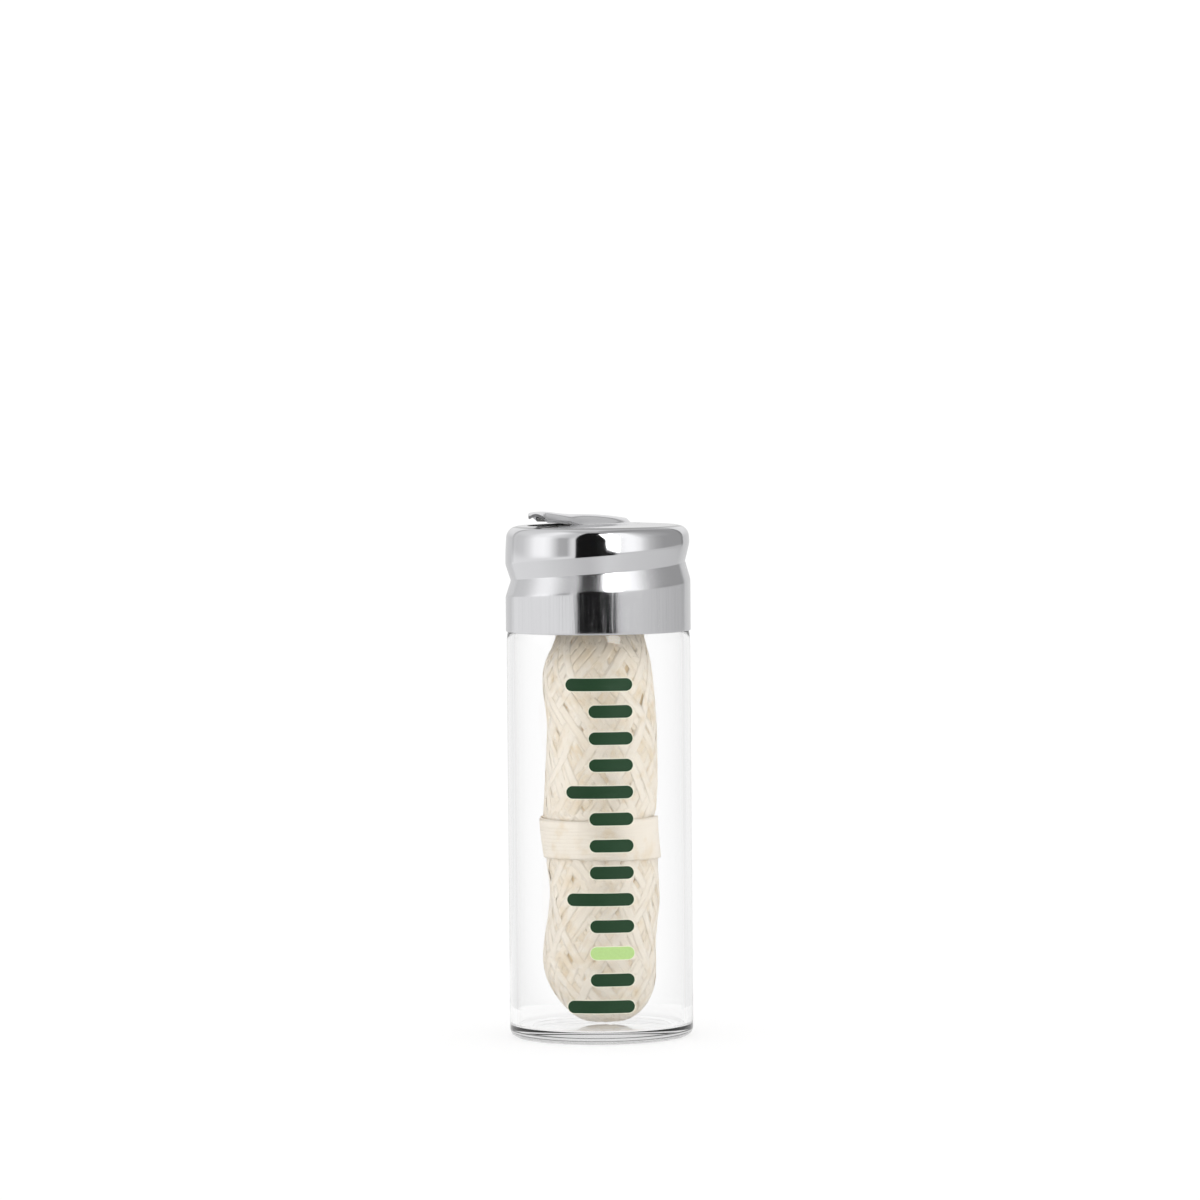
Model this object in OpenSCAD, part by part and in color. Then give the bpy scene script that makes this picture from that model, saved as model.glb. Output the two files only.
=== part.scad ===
// Refillable dental floss dispenser. A clear glass vial with a threaded neck holds a coreless
// bundle of floss, and a pressed steel screw cap closes it over a sealing liner. The lid of the
// cap carries a raised boss that opens into a lifted cutter tongue, with the floss hole beside it.
// Origin: centre of the vial's base. +Z is up, -Y is the front with the printed marks.

/* [Glass vial] */
// Outer diameter of the glass body
glass_d = 22; // [20:0.5:25]
// Wall thickness of the glass body
glass_wall = 1; // [0.8:0.1:1.2]
// Thickness of the glass floor
glass_floor = 1.5; // [1.2:0.1:2]
// Height of the straight part of the glass body
body_h = 46.2; // [42:0.2:56]
// Radius of the edge round the outside of the base
base_edge = 1.2; // [0.8:0.1:1.5]
// Depth of the hollow pressed into the middle of the base
punt_depth = 0.35; // [0.2:0.05:0.5]
// Wall thickness of the threaded neck
neck_wall = 1.4; // [1.2:0.1:1.6]

/* [Thread] */
// Rise of the thread in one turn
pitch = 4.5; // [4.2:0.1:5]
// Depth of the thread groove rolled into the cap
groove_depth = 0.62; // [0.5:0.02:0.66]
// Height of the groove's upper flank
flank_upper = 2.05; // [2:0.05:2.2]
// Height of the groove's lower flank
flank_lower = 2; // [1.8:0.05:2]
// Share by which the flanks grow from the front to a quarter turn further up the groove
flank_spread = 0.08; // [0:0.02:0.12]
// Width of the glass thread at its foot
bead_w = 1.9; // [1.6:0.1:2]
// Radial clearance between the glass thread and the cap
thread_gap = 0.25; // [0.2:0.05:0.35]

/* [Steel cap] */
// Thickness of the steel sheet
sheet = 0.35; // [0.3:0.05:0.45]
// Height of the cap from the skirt's edge to the lid's edge
cap_h = 12.6; // [12.4:0.2:15]
// How far the skirt stands proud of the glass body
cap_proud = 0.07; // [0.02:0.01:0.12]
// Radius of the shoulder between the cap's side and its lid
cap_shoulder = 1.45; // [1.2:0.05:1.6]
// How far the side leans in between the groove and the shoulder
barrel_lean = 0.12; // [0:0.02:0.2]
// Height of the groove's bottom at the front, above the skirt's edge
groove_height = 7.2; // [7:0.05:7.6]
// Rise of the lid from its edge to its middle
lid_crown = 0.3; // [0.1:0.05:0.4]
// Diameter of the floss hole through the lid
floss_hole_d = 1.3; // [1:0.1:1.6]

/* [Cutter tongue] */
// Distance from the cap's axis to the tip of the tongue
tongue_reach = 8.4; // [8:0.1:8.4]
// Distance from the cap's axis to the closed end of the boss
boss_reach = 4.2; // [3.6:0.1:4.4]
// Width of the boss and the tongue
tongue_w = 6.2; // [5:0.2:7]
// Height of the tongue's crest above the lid's edge
tongue_lift = 1.52; // [1.4:0.02:1.8]
// Height of the boss above the lid's edge, where the tongue starts
boss_lift = 1.28; // [1.1:0.02:1.3]
// Height of the boss above the lid's edge, at its closed end
boss_end_lift = 0.54; // [0.4:0.02:0.8]
// Turn of the tongue about the cap's axis, from straight left
tongue_turn = 15; // [0:1:30]

/* [Liner] */
// Thickness of the sealing liner
liner_t = 1; // [0.8:0.1:1.4]

/* [Floss bundle] */
// Radius of the bundle over its winding
bundle_r = 6.7; // [6:0.1:7]
// Height of the bundle
bundle_h = 48.3; // [44:0.1:50]
// Diameter of the wound floss
floss_d = 0.5; // [0.4:0.05:0.6]
// Loops of the outer winding below the waist
loops_low = 9; // [7:1:9]
// Loops of the band round the waist
loops_waist = 4; // [3:1:4]
// Loops of the outer winding above the waist
loops_high = 11; // [8:1:11]
// Height of the middle of the waist band above the foot of the bundle
waist_height = 22.4; // [21:0.1:24]
// Spacing of the loops in the waist band
waist_step = 0.98; // [0.96:0.02:1.1]
// Height by which the slanting loops rise from one side to the other, halved
loop_slant = 2.6; // [1:0.1:2.8]
// How far the waist band stands proud of the bundle
waist_proud = 0.42; // [0.2:0.02:0.5]

/* [Printed marks] */
// Width of the long marks
mark_long = 7.9; // [6:0.1:9]
// Width of the short marks
mark_short = 5.2; // [4:0.1:6]
// Thickness of a mark's line
mark_line = 1.5; // [1:0.1:2]
// Number of marks up the glass
mark_count = 13; // [7:1:15]
// Height of the lowest mark's middle
mark_low = 4.6; // [4:0.1:8]
// Height of the highest mark's middle
mark_high = 42.8; // [36:0.1:42.8]
// Thickness of the printed ink
ink = 0.05; // [0.03:0.01:0.08]

/* [Hidden] */
$fn = 96;

glass_r = glass_d / 2;
vial_in_r = glass_r - glass_wall;
cap_r = glass_r + cap_proud;
cap_in_r = cap_r - sheet;
bead_tip_r = cap_in_r - thread_gap;
ridge_gap = 0.3;
neck_r = cap_in_r - groove_depth - ridge_gap;
neck_in_r = neck_r - neck_wall;

shoulder_drop = 0.13;
shoulder_ease_r = 10;
shoulder_ease_a = acos(1 - shoulder_drop / shoulder_ease_r);
neck_fillet = 0.3;
shoulder_turn_r = glass_r - neck_r - shoulder_drop - neck_fillet;
ease_top = body_h + shoulder_ease_r * sin(shoulder_ease_a);
shoulder_top = ease_top + shoulder_turn_r * (1 - sin(shoulder_ease_a));

skirt_gap = 0.2;
skirt_z = shoulder_top + skirt_gap;
lid_z = skirt_z + cap_h;
lid_flat_r = cap_r - barrel_lean - cap_shoulder;
liner_seat_gap = 0.05;
liner_top = lid_z - sheet - liner_seat_gap;
rim_z = liner_top - liner_t;
rim_edge = 0.45;
floor_edge = 1.6;
punt_edge = 1.6;
throat_low = body_h - 0.6;
throat_high = skirt_z + 0.6;

groove_front = skirt_z + groove_height;
groove_start = 105;
groove_end = 415;
groove_fade = 35;
crease = 0.06;
shoulder_z = lid_z - cap_shoulder;
bead_rise = 2.15;
bead_start = -30;
bead_root = 0.3;
bead_span_top = rim_z - rim_edge - bead_w * 0.62;
bead_end = 270 + (bead_span_top - groove_front - bead_rise) * 360 / pitch;
bead_fade = 25;

columns = 72;
flange_r = tongue_reach + 0.5;
lid_lap = 0.3;
lid_skin = 0.02;
slit = 0.15;
boss_lap = 0.2;
slit_root = -2.4;
floss_hole_at = boss_reach + floss_hole_d / 2 + 0.2;

liner_r = min(lid_flat_r + cap_shoulder * 0.1, neck_r - 0.1);
liner_chamfer = 0.3;
liner_hole_d = floss_hole_d + 0.6;

bundle_foot_gap = 0.1;
bundle_z = glass_floor + bundle_foot_gap;
bundle_end_l = 8;
winding_gap = 0.1;
core_in = floss_d + winding_gap;
core_columns = 36;
core_rows = 26;
loop_rings = 24;
winding_sides = 6;
waist_half = waist_step * loops_waist / 2;

function ease(t) = let (u = max(0, min(1, t))) u * u * (3 - 2 * u);
function arc(cx, cy, r, a0, a1, n) =
    [for (i = [0:n]) let (a = a0 + (a1 - a0) * i / n) [cx + r * cos(a), cy + r * sin(a)]];

// Faces of a closed tube of rings, each with m points, from ring 0 to ring n - 1
function side_faces(n, m, closed = false) = [
    for (i = [0:closed ? n - 1 : n - 2], j = [0:m - 1])
        let (a = i * m + j, b = i * m + (j + 1) % m)
        let (c = ((i + 1) % n) * m + (j + 1) % m, d = ((i + 1) % n) * m + j)
        each [[a, b, c], [a, c, d]]
];
function start_faces(m) = [for (j = [1:m - 2]) [0, j + 1, j]];
function end_faces(n, m) = let (k = (n - 1) * m) [for (j = [1:m - 2]) [k, k + j, k + j + 1]];

// Height of the groove's bottom round the cap, on the right-hand helix of the thread
function helix_z(a) = groove_front + pitch * (a - 270) / 360;

// Share of the groove's depth round the cap: it fades in and out at its two ends
function groove_share(a) =
    ease((a - groove_start) / groove_fade) * ease((groove_end - a) / groove_fade);

// The angle along the groove. In the plain stretch between its ends it slides back to the start.
function groove_angle(a) =
    let (back = 360 - (groove_end - groove_start))
    a <= groove_end ? a : groove_end - (groove_end - groove_start) * ease((a - groove_end) / back);
function flank(a, up) =
    (up ? flank_upper : flank_lower) * (1 + flank_spread * (groove_angle(a) - 270) / 90);

// Share of the groove's depth at a height h from its bottom: two straight flanks with narrow
// rounded creases
function groove_cut(a, h) =
    let (away = sqrt(h * h + crease * crease) - crease)
    let (t = 1 - away / flank(a, h > 0))
    (t + sqrt(t * t + crease * crease)) / 2;

// Radius of the cap's outside without its groove, up to the shoulder
function barrel_r(z) =
    let (t = max(0, z - groove_front - 1) / (shoulder_z - groove_front - 1))
    cap_r - barrel_lean * t * t;
function wall_r(a, z) =
    barrel_r(z) - groove_depth * groove_share(a) * groove_cut(a, z - helix_z(groove_angle(a)));

function lid_top(r) = lid_z + lid_crown * (1 - pow(r / lid_flat_r, 2));

// End faces of a strip whose rings run along its top and back along its underside
function strip_start(m) = [for (j = [0:m / 2 - 2])
    each [[j, m - 1 - j, j + 1], [j + 1, m - 1 - j, m - 2 - j]]];
function strip_end(n, m) = let (k = (n - 1) * m) [for (j = [0:m / 2 - 2])
    each [[k + j, k + j + 1, k + m - 1 - j], [k + j + 1, k + m - 2 - j, k + m - 1 - j]]];

module rod_of_rings(rings, closed = false, strip = false) {
    n = len(rings);
    m = len(rings[0]);
    ends = strip ? concat(strip_start(m), strip_end(n, m)) : concat(start_faces(m), end_faces(n, m));
    faces = closed ? side_faces(n, m, true) : concat(side_faces(n, m), ends);
    polyhedron(points = [for (ring = rings) each ring], faces = faces, convexity = 8);
}

// The glass, turned: flat ring foot round a shallow punt, eased shoulder, round-edged rim
module glass_body() {
    foot_r = glass_r - base_edge;
    punt_r = foot_r - punt_edge;
    punt_ball = (punt_r * punt_r + punt_depth * punt_depth) / (2 * punt_depth);
    turn_x = glass_r - shoulder_drop - shoulder_turn_r * cos(shoulder_ease_a);
    turn_z = ease_top - shoulder_turn_r * sin(shoulder_ease_a);
    outside = concat(
        [for (i = [0:8])
            let (r = punt_r * i / 8)
            [r, sqrt(punt_ball * punt_ball - r * r) - punt_ball + punt_depth]],
        arc(foot_r, base_edge, base_edge, -90, 0, 8),
        arc(glass_r - shoulder_ease_r, body_h, shoulder_ease_r, 0, shoulder_ease_a, 4),
        [for (p = arc(turn_x, turn_z, shoulder_turn_r, shoulder_ease_a, 90, 8))
            if (p[1] > ease_top + 0.001) p],
        [for (p = arc(neck_r + neck_fillet, shoulder_top + neck_fillet, neck_fillet, 270, 180, 4))
            if (p[1] > shoulder_top + 0.001) p]
    );
    inside = concat(
        arc(neck_r - rim_edge, rim_z - rim_edge, rim_edge, 0, 90, 6),
        arc(neck_in_r + rim_edge, rim_z - rim_edge, rim_edge, 90, 180, 6),
        [for (i = [0:12])
            let (t = i / 12, r = neck_in_r + (vial_in_r - neck_in_r) * (1 - cos(180 * t)) / 2)
            [r, throat_high + (throat_low - throat_high) * t]],
        arc(vial_in_r - floor_edge, glass_floor + floor_edge, floor_edge, 0, -90, 8),
        [[0, glass_floor]]
    );
    rotate_extrude(convexity = 6) polygon(concat(outside, inside));
}

// The glass thread: a bead that climbs the neck and fades at both ends
module glass_thread() {
    steps = round((bead_end - bead_start) / 7.5);
    bead_h = bead_tip_r - neck_r;
    profile = [[-1, -0.62], [0.55, -0.34], [0.92, -0.16], [1, 0], [0.92, 0.16], [0.55, 0.34], [-1, 0.62]];
    rod_of_rings([for (i = [0:steps])
        let (a = bead_start + (bead_end - bead_start) * i / steps)
        let (fade = ease((a - bead_start) / bead_fade) * ease((bead_end - a) / bead_fade))
        let (h = bead_h * (0.2 + 0.8 * fade))
        [for (p = profile)
            let (r = neck_r + (p[0] < 0 ? -bead_root : h * p[0]))
            let (z = helix_z(a) + bead_rise + bead_w * p[1])
            [r * cos(a), r * sin(a), z]]
    ]);
}

module glass_vial() {
    color([0.86, 0.93, 0.92, 0.35])
        union() {
            glass_body();
            glass_thread();
        }
}

// A line with round ends, lying along X
module mark_shape(w) {
    square([w - mark_line, mark_line], center = true);
    for (side = [-1, 1])
        translate([side * (w - mark_line) / 2, 0])
            circle(d = mark_line, $fn = 32);
}

// One printed mark, wrapped on the front of the glass
module printed_mark(w, z) {
    skin = 0.01;
    intersection() {
        translate([0, 0, z - mark_line])
            difference() {
                cylinder(r = glass_r + skin + ink, h = 2 * mark_line);
                translate([0, 0, -1])
                    cylinder(r = glass_r + skin, h = 2 * mark_line + 2);
            }
        translate([(w - mark_long) / -2, 0, z])
            rotate([90, 0, 0])
                linear_extrude(height = glass_r + 1)
                    mark_shape(w);
    }
}

function mark_z(i) = mark_low + (mark_high - mark_low) * i / (mark_count - 1);
function is_long(i) = i % 4 == 0;
accent_index = 2;

module printed_marks() {
    color([0.13, 0.31, 0.18])
        for (i = [0:mark_count - 1])
            if (i != accent_index)
                printed_mark(is_long(i) ? mark_long : mark_short, mark_z(i));
}

module printed_accent() {
    color([0.72, 0.85, 0.51])
        printed_mark(is_long(accent_index) ? mark_long : mark_short, mark_z(accent_index));
}

// Rows of points up the cap's wall, as shares of the groove's flanks above and below its bottom
outside_rows = [-1.2, -1, -0.8, -0.5, -0.18, -0.05, 0.05, 0.18, 0.5, 0.85, 1, 1.15];
inside_rows = [1.15, 0.95, 0.5, 0.05, -0.05, -0.5, -0.9, -1.15];
function row_z(a, share, below) =
    min(helix_z(groove_angle(a)) + share * flank(a, share > 0), shoulder_z - 0.05 * below);

// The sheet's section at one angle, from the skirt's edge up the outside and down the inside
function cap_section(a) =
    let (lean_r = cap_r - barrel_lean - cap_shoulder)
    let (edge = sheet * 0.3)
    let (m = len(outside_rows), n = len(inside_rows))
    concat(
        [[wall_r(a, skirt_z) - edge, skirt_z], [wall_r(a, skirt_z), skirt_z + edge]],
        [for (k = [0:m - 1]) let (z = row_z(a, outside_rows[k], m - k)) [wall_r(a, z), z]],
        arc(lean_r, shoulder_z, cap_shoulder, 0, 90, 5),
        [[flange_r, lid_top(flange_r)], [flange_r, lid_top(flange_r) - sheet]],
        arc(lean_r, shoulder_z, cap_shoulder - sheet, 90, 0, 4),
        [for (k = [0:n - 1]) let (z = row_z(a, inside_rows[k], 5 + k)) [wall_r(a, z) - sheet, z]],
        [[wall_r(a, skirt_z) - sheet, skirt_z + edge], [wall_r(a, skirt_z) - sheet + edge / 2, skirt_z]]
    );

module cap_wall() {
    rod_of_rings([for (i = [0:columns - 1])
        let (a = groove_start + 360 * i / columns)
        [for (p = cap_section(a)) [p[0] * cos(a), p[0] * sin(a), p[1]]]
    ], true);
}

// Half the width of the boss and tongue, at a distance s along it. The tip is at -tongue_reach.
tip_l = 2.4;
root_l = 2.7;
function half_w(s) =
    let (tip = max(0, tip_l - tongue_reach - s) / tip_l)
    let (root = max(0, s - boss_reach + root_l) / root_l)
    tongue_w / 2 * (1 - 0.88 * pow(tip, 1.6)) * sqrt(max(0, 1 - root * root));

// Height of the crest of the boss and tongue above the lid's edge. It climbs along the boss,
// humps over the tongue and dips a little to the tip.
crest_at = 0.72 * tongue_reach;
hump_l = 1.4;
tip_dip = 0.36;
function crest_h(s) =
    let (t = max(0, min(1, (boss_reach - s) / (boss_reach - slit_root))))
    let (climb = boss_end_lift + (boss_lift - boss_end_lift) * (1 - (1 - t) * (1 - t)))
    let (hump = exp(-pow((s + crest_at) / hump_l, 2)))
    let (fall = ease((boss_reach + 0.25 - s) / 0.7))
    fall * climb + (tongue_lift - boss_lift) * hump - tip_dip * ease((-crest_at - s) / tip_l);

// Height of the edges: sunk in the lid beside the boss, lifted clear of it beside the tongue,
// and drawn up to the crest at the tip, so that the tip is a beak
edge_sink = 0.12;
edge_lift = 0.5;
function edge_h(s) =
    let (free = ease((slit_root - s) / 2))
    let (tip = max(0, tip_l - tongue_reach - s) / tip_l)
    let (lid = lid_crown * (1 - pow(min(1, norm([s, half_w(s)]) / lid_flat_r), 2)))
    let (low = lid - edge_sink + edge_lift * free)
    low + (crest_h(s) - 0.12 - low) * tip * tip;

// The boss and tongue, one arched strip of the sheet
module tongue_strip() {
    across = 10;
    along = 26;
    rings = [for (i = [0:along])
        let (s = -tongue_reach + (tongue_reach + boss_reach - 0.02) * i / along)
        let (w = max(0.2, half_w(s)), low = edge_h(s), high = max(crest_h(s), low + 0.02))
        concat(
            [for (j = [0:across]) let (v = j / across * 2 - 1)
                [s, v * w, lid_z + low + (high - low) * (1 - v * v)]],
            [for (j = [across:-1:0]) let (v = j / across * 2 - 1)
                [s, v * w * 0.97, lid_z + low + (high - low) * (1 - v * v) - sheet]]
        )
    ];
    rod_of_rings(rings, strip = true);
}

// What is cut out of the lid under the strip: a lap inside the boss's edge, a slit outside the tongue's
module strip_opening() {
    n = 28;
    lap = boss_lap;
    side = [for (i = [0:n])
        let (s = boss_reach - 0.6 - (tongue_reach + slit + boss_reach - 0.6) * i / n)
        let (free = s < slit_root)
        [s, max(0.05, free ? half_w(max(s, -tongue_reach)) + slit : half_w(s) - lap)]];
    translate([0, 0, lid_z - 2])
        linear_extrude(height = 4)
            polygon(concat(side, [for (i = [n:-1:0]) [side[i][0], -side[i][1]]]));
}

// The lid panel: crowned sheet inside the flange
module lid_panel() {
    n = 6;
    r = flange_r + lid_lap;
    top = [for (i = [0:n]) [r * i / n, lid_top(r * i / n) - lid_skin]];
    under = [for (i = [n:-1:0]) [r * i / n, lid_top(r * i / n) - sheet + lid_skin]];
    rotate_extrude() polygon(concat(top, under));
}

module screw_cap() {
    color([0.78, 0.78, 0.79])
        union() {
            cap_wall();
            difference() {
                lid_panel();
                rotate([0, 0, tongue_turn]) {
                    strip_opening();
                    translate([floss_hole_at, 0, lid_z - 2])
                        cylinder(d = floss_hole_d, h = 4);
                }
            }
            rotate([0, 0, tongue_turn])
                tongue_strip();
        }
}

module cap_liner() {
    color([0.93, 0.93, 0.91])
        difference() {
            union() {
                translate([0, 0, rim_z])
                    cylinder(r = liner_r, h = liner_t - liner_chamfer);
                translate([0, 0, liner_top - liner_chamfer])
                    cylinder(r1 = liner_r, r2 = liner_r - liner_chamfer, h = liner_chamfer);
            }
            rotate([0, 0, tongue_turn])
                translate([floss_hole_at, 0, rim_z - 1])
                    cylinder(d = liner_hole_d, h = liner_t + 2);
        }
}

// Radius of the bundle over its winding, at a height above its foot, with round-shouldered ends
function bundle_env(h) =
    let (from_end = max(0, min(h, bundle_h - h)))
    let (t = min(1, from_end / bundle_end_l))
    bundle_r * pow(max(0, 1 - pow(1 - t, 2)), 1 / 2.6);

// How far the band of turns round the waist stands proud
function band(h) = waist_proud * ease((waist_half + 0.5 - abs(h - waist_height)) / 0.6);

// The bundle is wound by hand, so it leans from side to side and is a little lumpy
function lean_x(h) = 0.15 + 0.3 * cos(360 * (h - 33) / 16.2);
function lean_y(h) = 0.25 * sin(360 * (h - 9) / 21);
function lump(a, h) =
    ease(min(h, bundle_h - h) / 6) * (1 - ease((waist_half + 1.5 - abs(h - waist_height)) / 1.2))
    * (0.1 * sin(2 * a + 17 * h) + 0.09 * sin(3 * a - 26 * h + 50) + 0.07 * sin(5 * a + 31 * h));
function bundle_point(a, h, outward) =
    let (r = max(0.05, bundle_env(h) + lump(a, h) + outward))
    [lean_x(h) + r * cos(a), lean_y(h) + r * sin(a), bundle_z + h];

// The inner layers of the bundle, a plain body just under the outer winding
module floss_core() {
    heights = [for (i = [0:core_rows])
        let (t = i / core_rows)
        core_in + (bundle_h - 2 * core_in) * (t - 0.09 * sin(360 * t))];
    color([0.9, 0.86, 0.79])
        rod_of_rings([for (h = heights)
            [for (j = [0:core_columns - 1]) bundle_point(360 * j / core_columns, h, -core_in)]
        ]);
}

// The outer winding is one thread. Its loops slant one way below the waist, lie level in the
// waist band and slant the other way above it.
loops_all = loops_low + loops_waist + loops_high;
wind_low = 2.6;
wind_high = bundle_h - 2.6;
waist_low = waist_height - waist_half;
waist_high = waist_height + waist_half;
function wind_h(t) =
    t < loops_low
        ? wind_low + (waist_low - wind_low) * t / loops_low
        : t < loops_low + loops_waist
            ? waist_low + waist_step * (t - loops_low)
            : waist_high + (wind_high - waist_high) * (t - loops_low - loops_waist) / loops_high;
function slant(h) =
    h < waist_low
        ? -loop_slant * 0.85 * sin(180 * (h - wind_low) / (waist_low - wind_low))
        : h < waist_high
            ? 0
            : loop_slant * sin(180 * (h - waist_high) / (wind_high - waist_high));
function wind_point(t) =
    let (a = 360 * t, h = wind_h(t) + slant(wind_h(t)) * cos(a))
    bundle_point(a, h, band(h) - floss_d / 2);

winding = [for (i = [0:loops_all * loop_rings]) wind_point(i / loop_rings)];

// The least gap from the thread to itself, measured between points half a loop or more apart
function least_gap(points, apart) =
    min([for (i = [0:len(points) - 1 - apart], j = [i + apart:min(len(points) - 1, i + 3 * loop_rings)])
        norm(points[i] - points[j])]) - floss_d;

module floss_winding() {
    last = len(winding) - 1;
    echo(winding_gap_to_itself = least_gap(winding, loop_rings / 2));
    color([0.95, 0.92, 0.86])
        rod_of_rings([for (i = [0:last])
            let (before = winding[max(0, i - 1)], after = winding[min(last, i + 1)])
            let (along = (after - before) / norm(after - before))
            let (flat = cross([0, 0, 1], along))
            let (side = flat / norm(flat))
            let (up = cross(along, side))
            [for (j = [0:winding_sides - 1])
                let (b = -360 * j / winding_sides)
                winding[i] + floss_d / 2 * (side * cos(b) + up * sin(b))]
        ]);
}

glass_vial();
printed_marks();
printed_accent();
screw_cap();
cap_liner();
floss_core();
floss_winding();
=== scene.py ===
"""Dental floss dispenser. A clear glass vial holds a wound bundle of floss under a pressed steel
screw cap, and printed marks run up its front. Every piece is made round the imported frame, in the
frame's own metres: +Z is up, and -Y is the front with the marks."""

import math
from types import SimpleNamespace

import bpy
import numpy as np
from bpy.props import FloatProperty, FloatVectorProperty, IntProperty, PointerProperty
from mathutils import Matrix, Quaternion, Vector


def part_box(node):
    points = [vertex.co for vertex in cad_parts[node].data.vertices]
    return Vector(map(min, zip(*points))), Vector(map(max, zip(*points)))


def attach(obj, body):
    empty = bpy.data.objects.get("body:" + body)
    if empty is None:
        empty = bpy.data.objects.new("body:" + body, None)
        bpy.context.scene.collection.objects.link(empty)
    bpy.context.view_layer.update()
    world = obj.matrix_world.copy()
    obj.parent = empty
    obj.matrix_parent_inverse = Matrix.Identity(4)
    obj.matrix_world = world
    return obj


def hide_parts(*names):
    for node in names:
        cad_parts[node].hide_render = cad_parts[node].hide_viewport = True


bl_info = {
    "name": "Floss dispenser",
    "version": (1, 0, 0),
    "blender": (4, 5, 0),
    "location": "3D View > Sidebar > Floss",
    "description": "Glass vial, wound floss, printed marks, steel screw cap and a studio stage",
    "category": "Add Mesh",
}

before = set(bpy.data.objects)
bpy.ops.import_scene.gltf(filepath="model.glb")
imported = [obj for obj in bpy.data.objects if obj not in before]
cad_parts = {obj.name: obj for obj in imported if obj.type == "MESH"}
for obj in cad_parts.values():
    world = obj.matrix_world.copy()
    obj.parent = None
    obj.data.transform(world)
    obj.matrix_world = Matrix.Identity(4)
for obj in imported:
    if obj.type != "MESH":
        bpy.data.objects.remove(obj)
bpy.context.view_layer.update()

MM = 0.001
GLASS_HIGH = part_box("glass_vial")[1] / MM
CAP_LOW, CAP_HIGH = (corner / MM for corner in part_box("screw_cap"))
LINER_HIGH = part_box("cap_liner")[1] / MM
LONG_MARK_EVERY = 4


def linear(hex_colour):
    """An sRGB hex value such as "#EBE4D7" as linear red, green and blue."""
    srgb = np.array([int(hex_colour[i : i + 2], 16) for i in (1, 3, 5)]) / 255
    return tuple(np.where(srgb <= 0.04045, srgb / 12.92, ((srgb + 0.055) / 1.055) ** 2.4))


def length(label, description, default):
    """A length of the settings, given in millimetres and held in metres."""
    return FloatProperty(
        name=label, description=description, default=default * MM, unit="LENGTH", precision=5
    )


def number(label, description, default):
    return FloatProperty(name=label, description=description, default=default)


def share(label, description, default):
    return FloatProperty(name=label, description=description, default=default, subtype="FACTOR")


def degrees(label, description, default):
    """An angle of the settings, given in degrees and held in radians."""
    return FloatProperty(
        name=label, description=description, default=math.radians(default), subtype="ANGLE"
    )


def whole(label, description, default, least):
    return IntProperty(name=label, description=description, default=default, min=least)


def colour(label, description, hex_colour):
    return FloatVectorProperty(
        name=label,
        description=description,
        default=linear(hex_colour),
        subtype="COLOR",
        size=3,
        min=0,
        max=1,
    )


class GlassSettings(bpy.types.PropertyGroup):
    wall: length("Wall", "Thickness of the body's wall", 1.0)
    floor: length("Floor", "Thickness of the floor", 1.45)
    body_h: length("Body height", "Height of the straight part of the body", 46.9)
    base_edge: length("Base edge", "Radius round the outside of the base", 1.0)
    punt_depth: length("Punt", "Depth of the hollow under the base", 0.35)
    neck_wall: length("Neck wall", "Thickness of the threaded neck", 1.4)
    neck_r: length("Neck radius", "Radius of the neck at the foot of its thread", 9.8)
    bead_h: length("Thread height", "How far the glass thread stands out of the neck", 0.67)
    bead_w: length("Thread width", "Width of the glass thread at its foot", 1.9)
    tint: colour("Tint", "What a millimetre of the glass lets through", "#FDFDFD")


class CapSettings(bpy.types.PropertyGroup):
    sheet: length("Sheet", "Thickness of the steel", 0.35)
    pitch: length("Pitch", "Rise of the thread groove in one turn", 4.5)
    groove_depth: length("Groove depth", "Depth of the thread groove", 0.62)
    groove_height: length("Groove height", "Groove's bottom at the front, above the skirt", 7.2)
    flank_upper: length("Upper flank", "Height of the groove's upper flank", 2.05)
    flank_lower: length("Lower flank", "Height of the groove's lower flank", 2.0)
    flank_spread: share("Flank spread", "Growth of the flanks in a quarter turn", 0.08)
    shoulder: length("Shoulder", "Radius between the side and the lid", 1.45)
    barrel_lean: length("Lean", "How far the side leans in above the groove", 0.12)
    lid_crown: length("Crown", "Rise of the lid to its middle", 0.3)
    hole_d: length("Floss hole", "Diameter of the hole that the floss leaves by", 1.3)
    tongue_reach: length("Tongue reach", "Distance from the axis to the tip", 8.4)
    boss_reach: length("Boss reach", "Distance from the axis to the boss's closed end", 4.2)
    tongue_w: length("Tongue width", "Width of the boss and the tongue", 6.2)
    tongue_lift: length("Tongue lift", "Height of the tongue's crest above the lid's edge", 1.76)
    boss_lift: length("Boss lift", "Height of the boss where the tongue starts", 1.38)
    boss_end_lift: length("Boss end lift", "Height of the boss at its closed end", 0.7)
    tongue_turn: degrees("Tongue turn", "Turn about the cap's axis, from straight left", 15)
    steel: colour("Steel", "Colour of the stainless steel", "#D1D1D3")


class FlossSettings(bpy.types.PropertyGroup):
    bundle_r: length("Bundle radius", "Radius of the bundle over its winding", 6.7)
    bundle_h: length("Bundle height", "Height of the bundle", 48.3)
    foot: length("Foot", "Height of the bundle's foot above the base", 1.6)
    waist_height: length("Waist", "Height of the waist band above the bundle's foot", 22.4)
    waist_half: length("Half waist", "Half the height of the waist band", 1.96)
    waist_proud: length("Waist proud", "How far the waist band stands proud", 0.42)
    strand_w: length("Strand width", "Width of the flattened floss", 1.15)
    strand_t: length("Strand thickness", "Thickness of the flattened floss", 0.07)
    passes: whole("Passes", "Runs of the thread from end to end", 150, 2)
    pale: colour("Pale", "Colour of the outer strands", "#F7EEDF")
    # Tan is the colour of waxed patches, and of painted shade between the strands and under the cap
    tan: colour("Tan", "Colour of the floss between the strands", "#E2CAA0")


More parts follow.
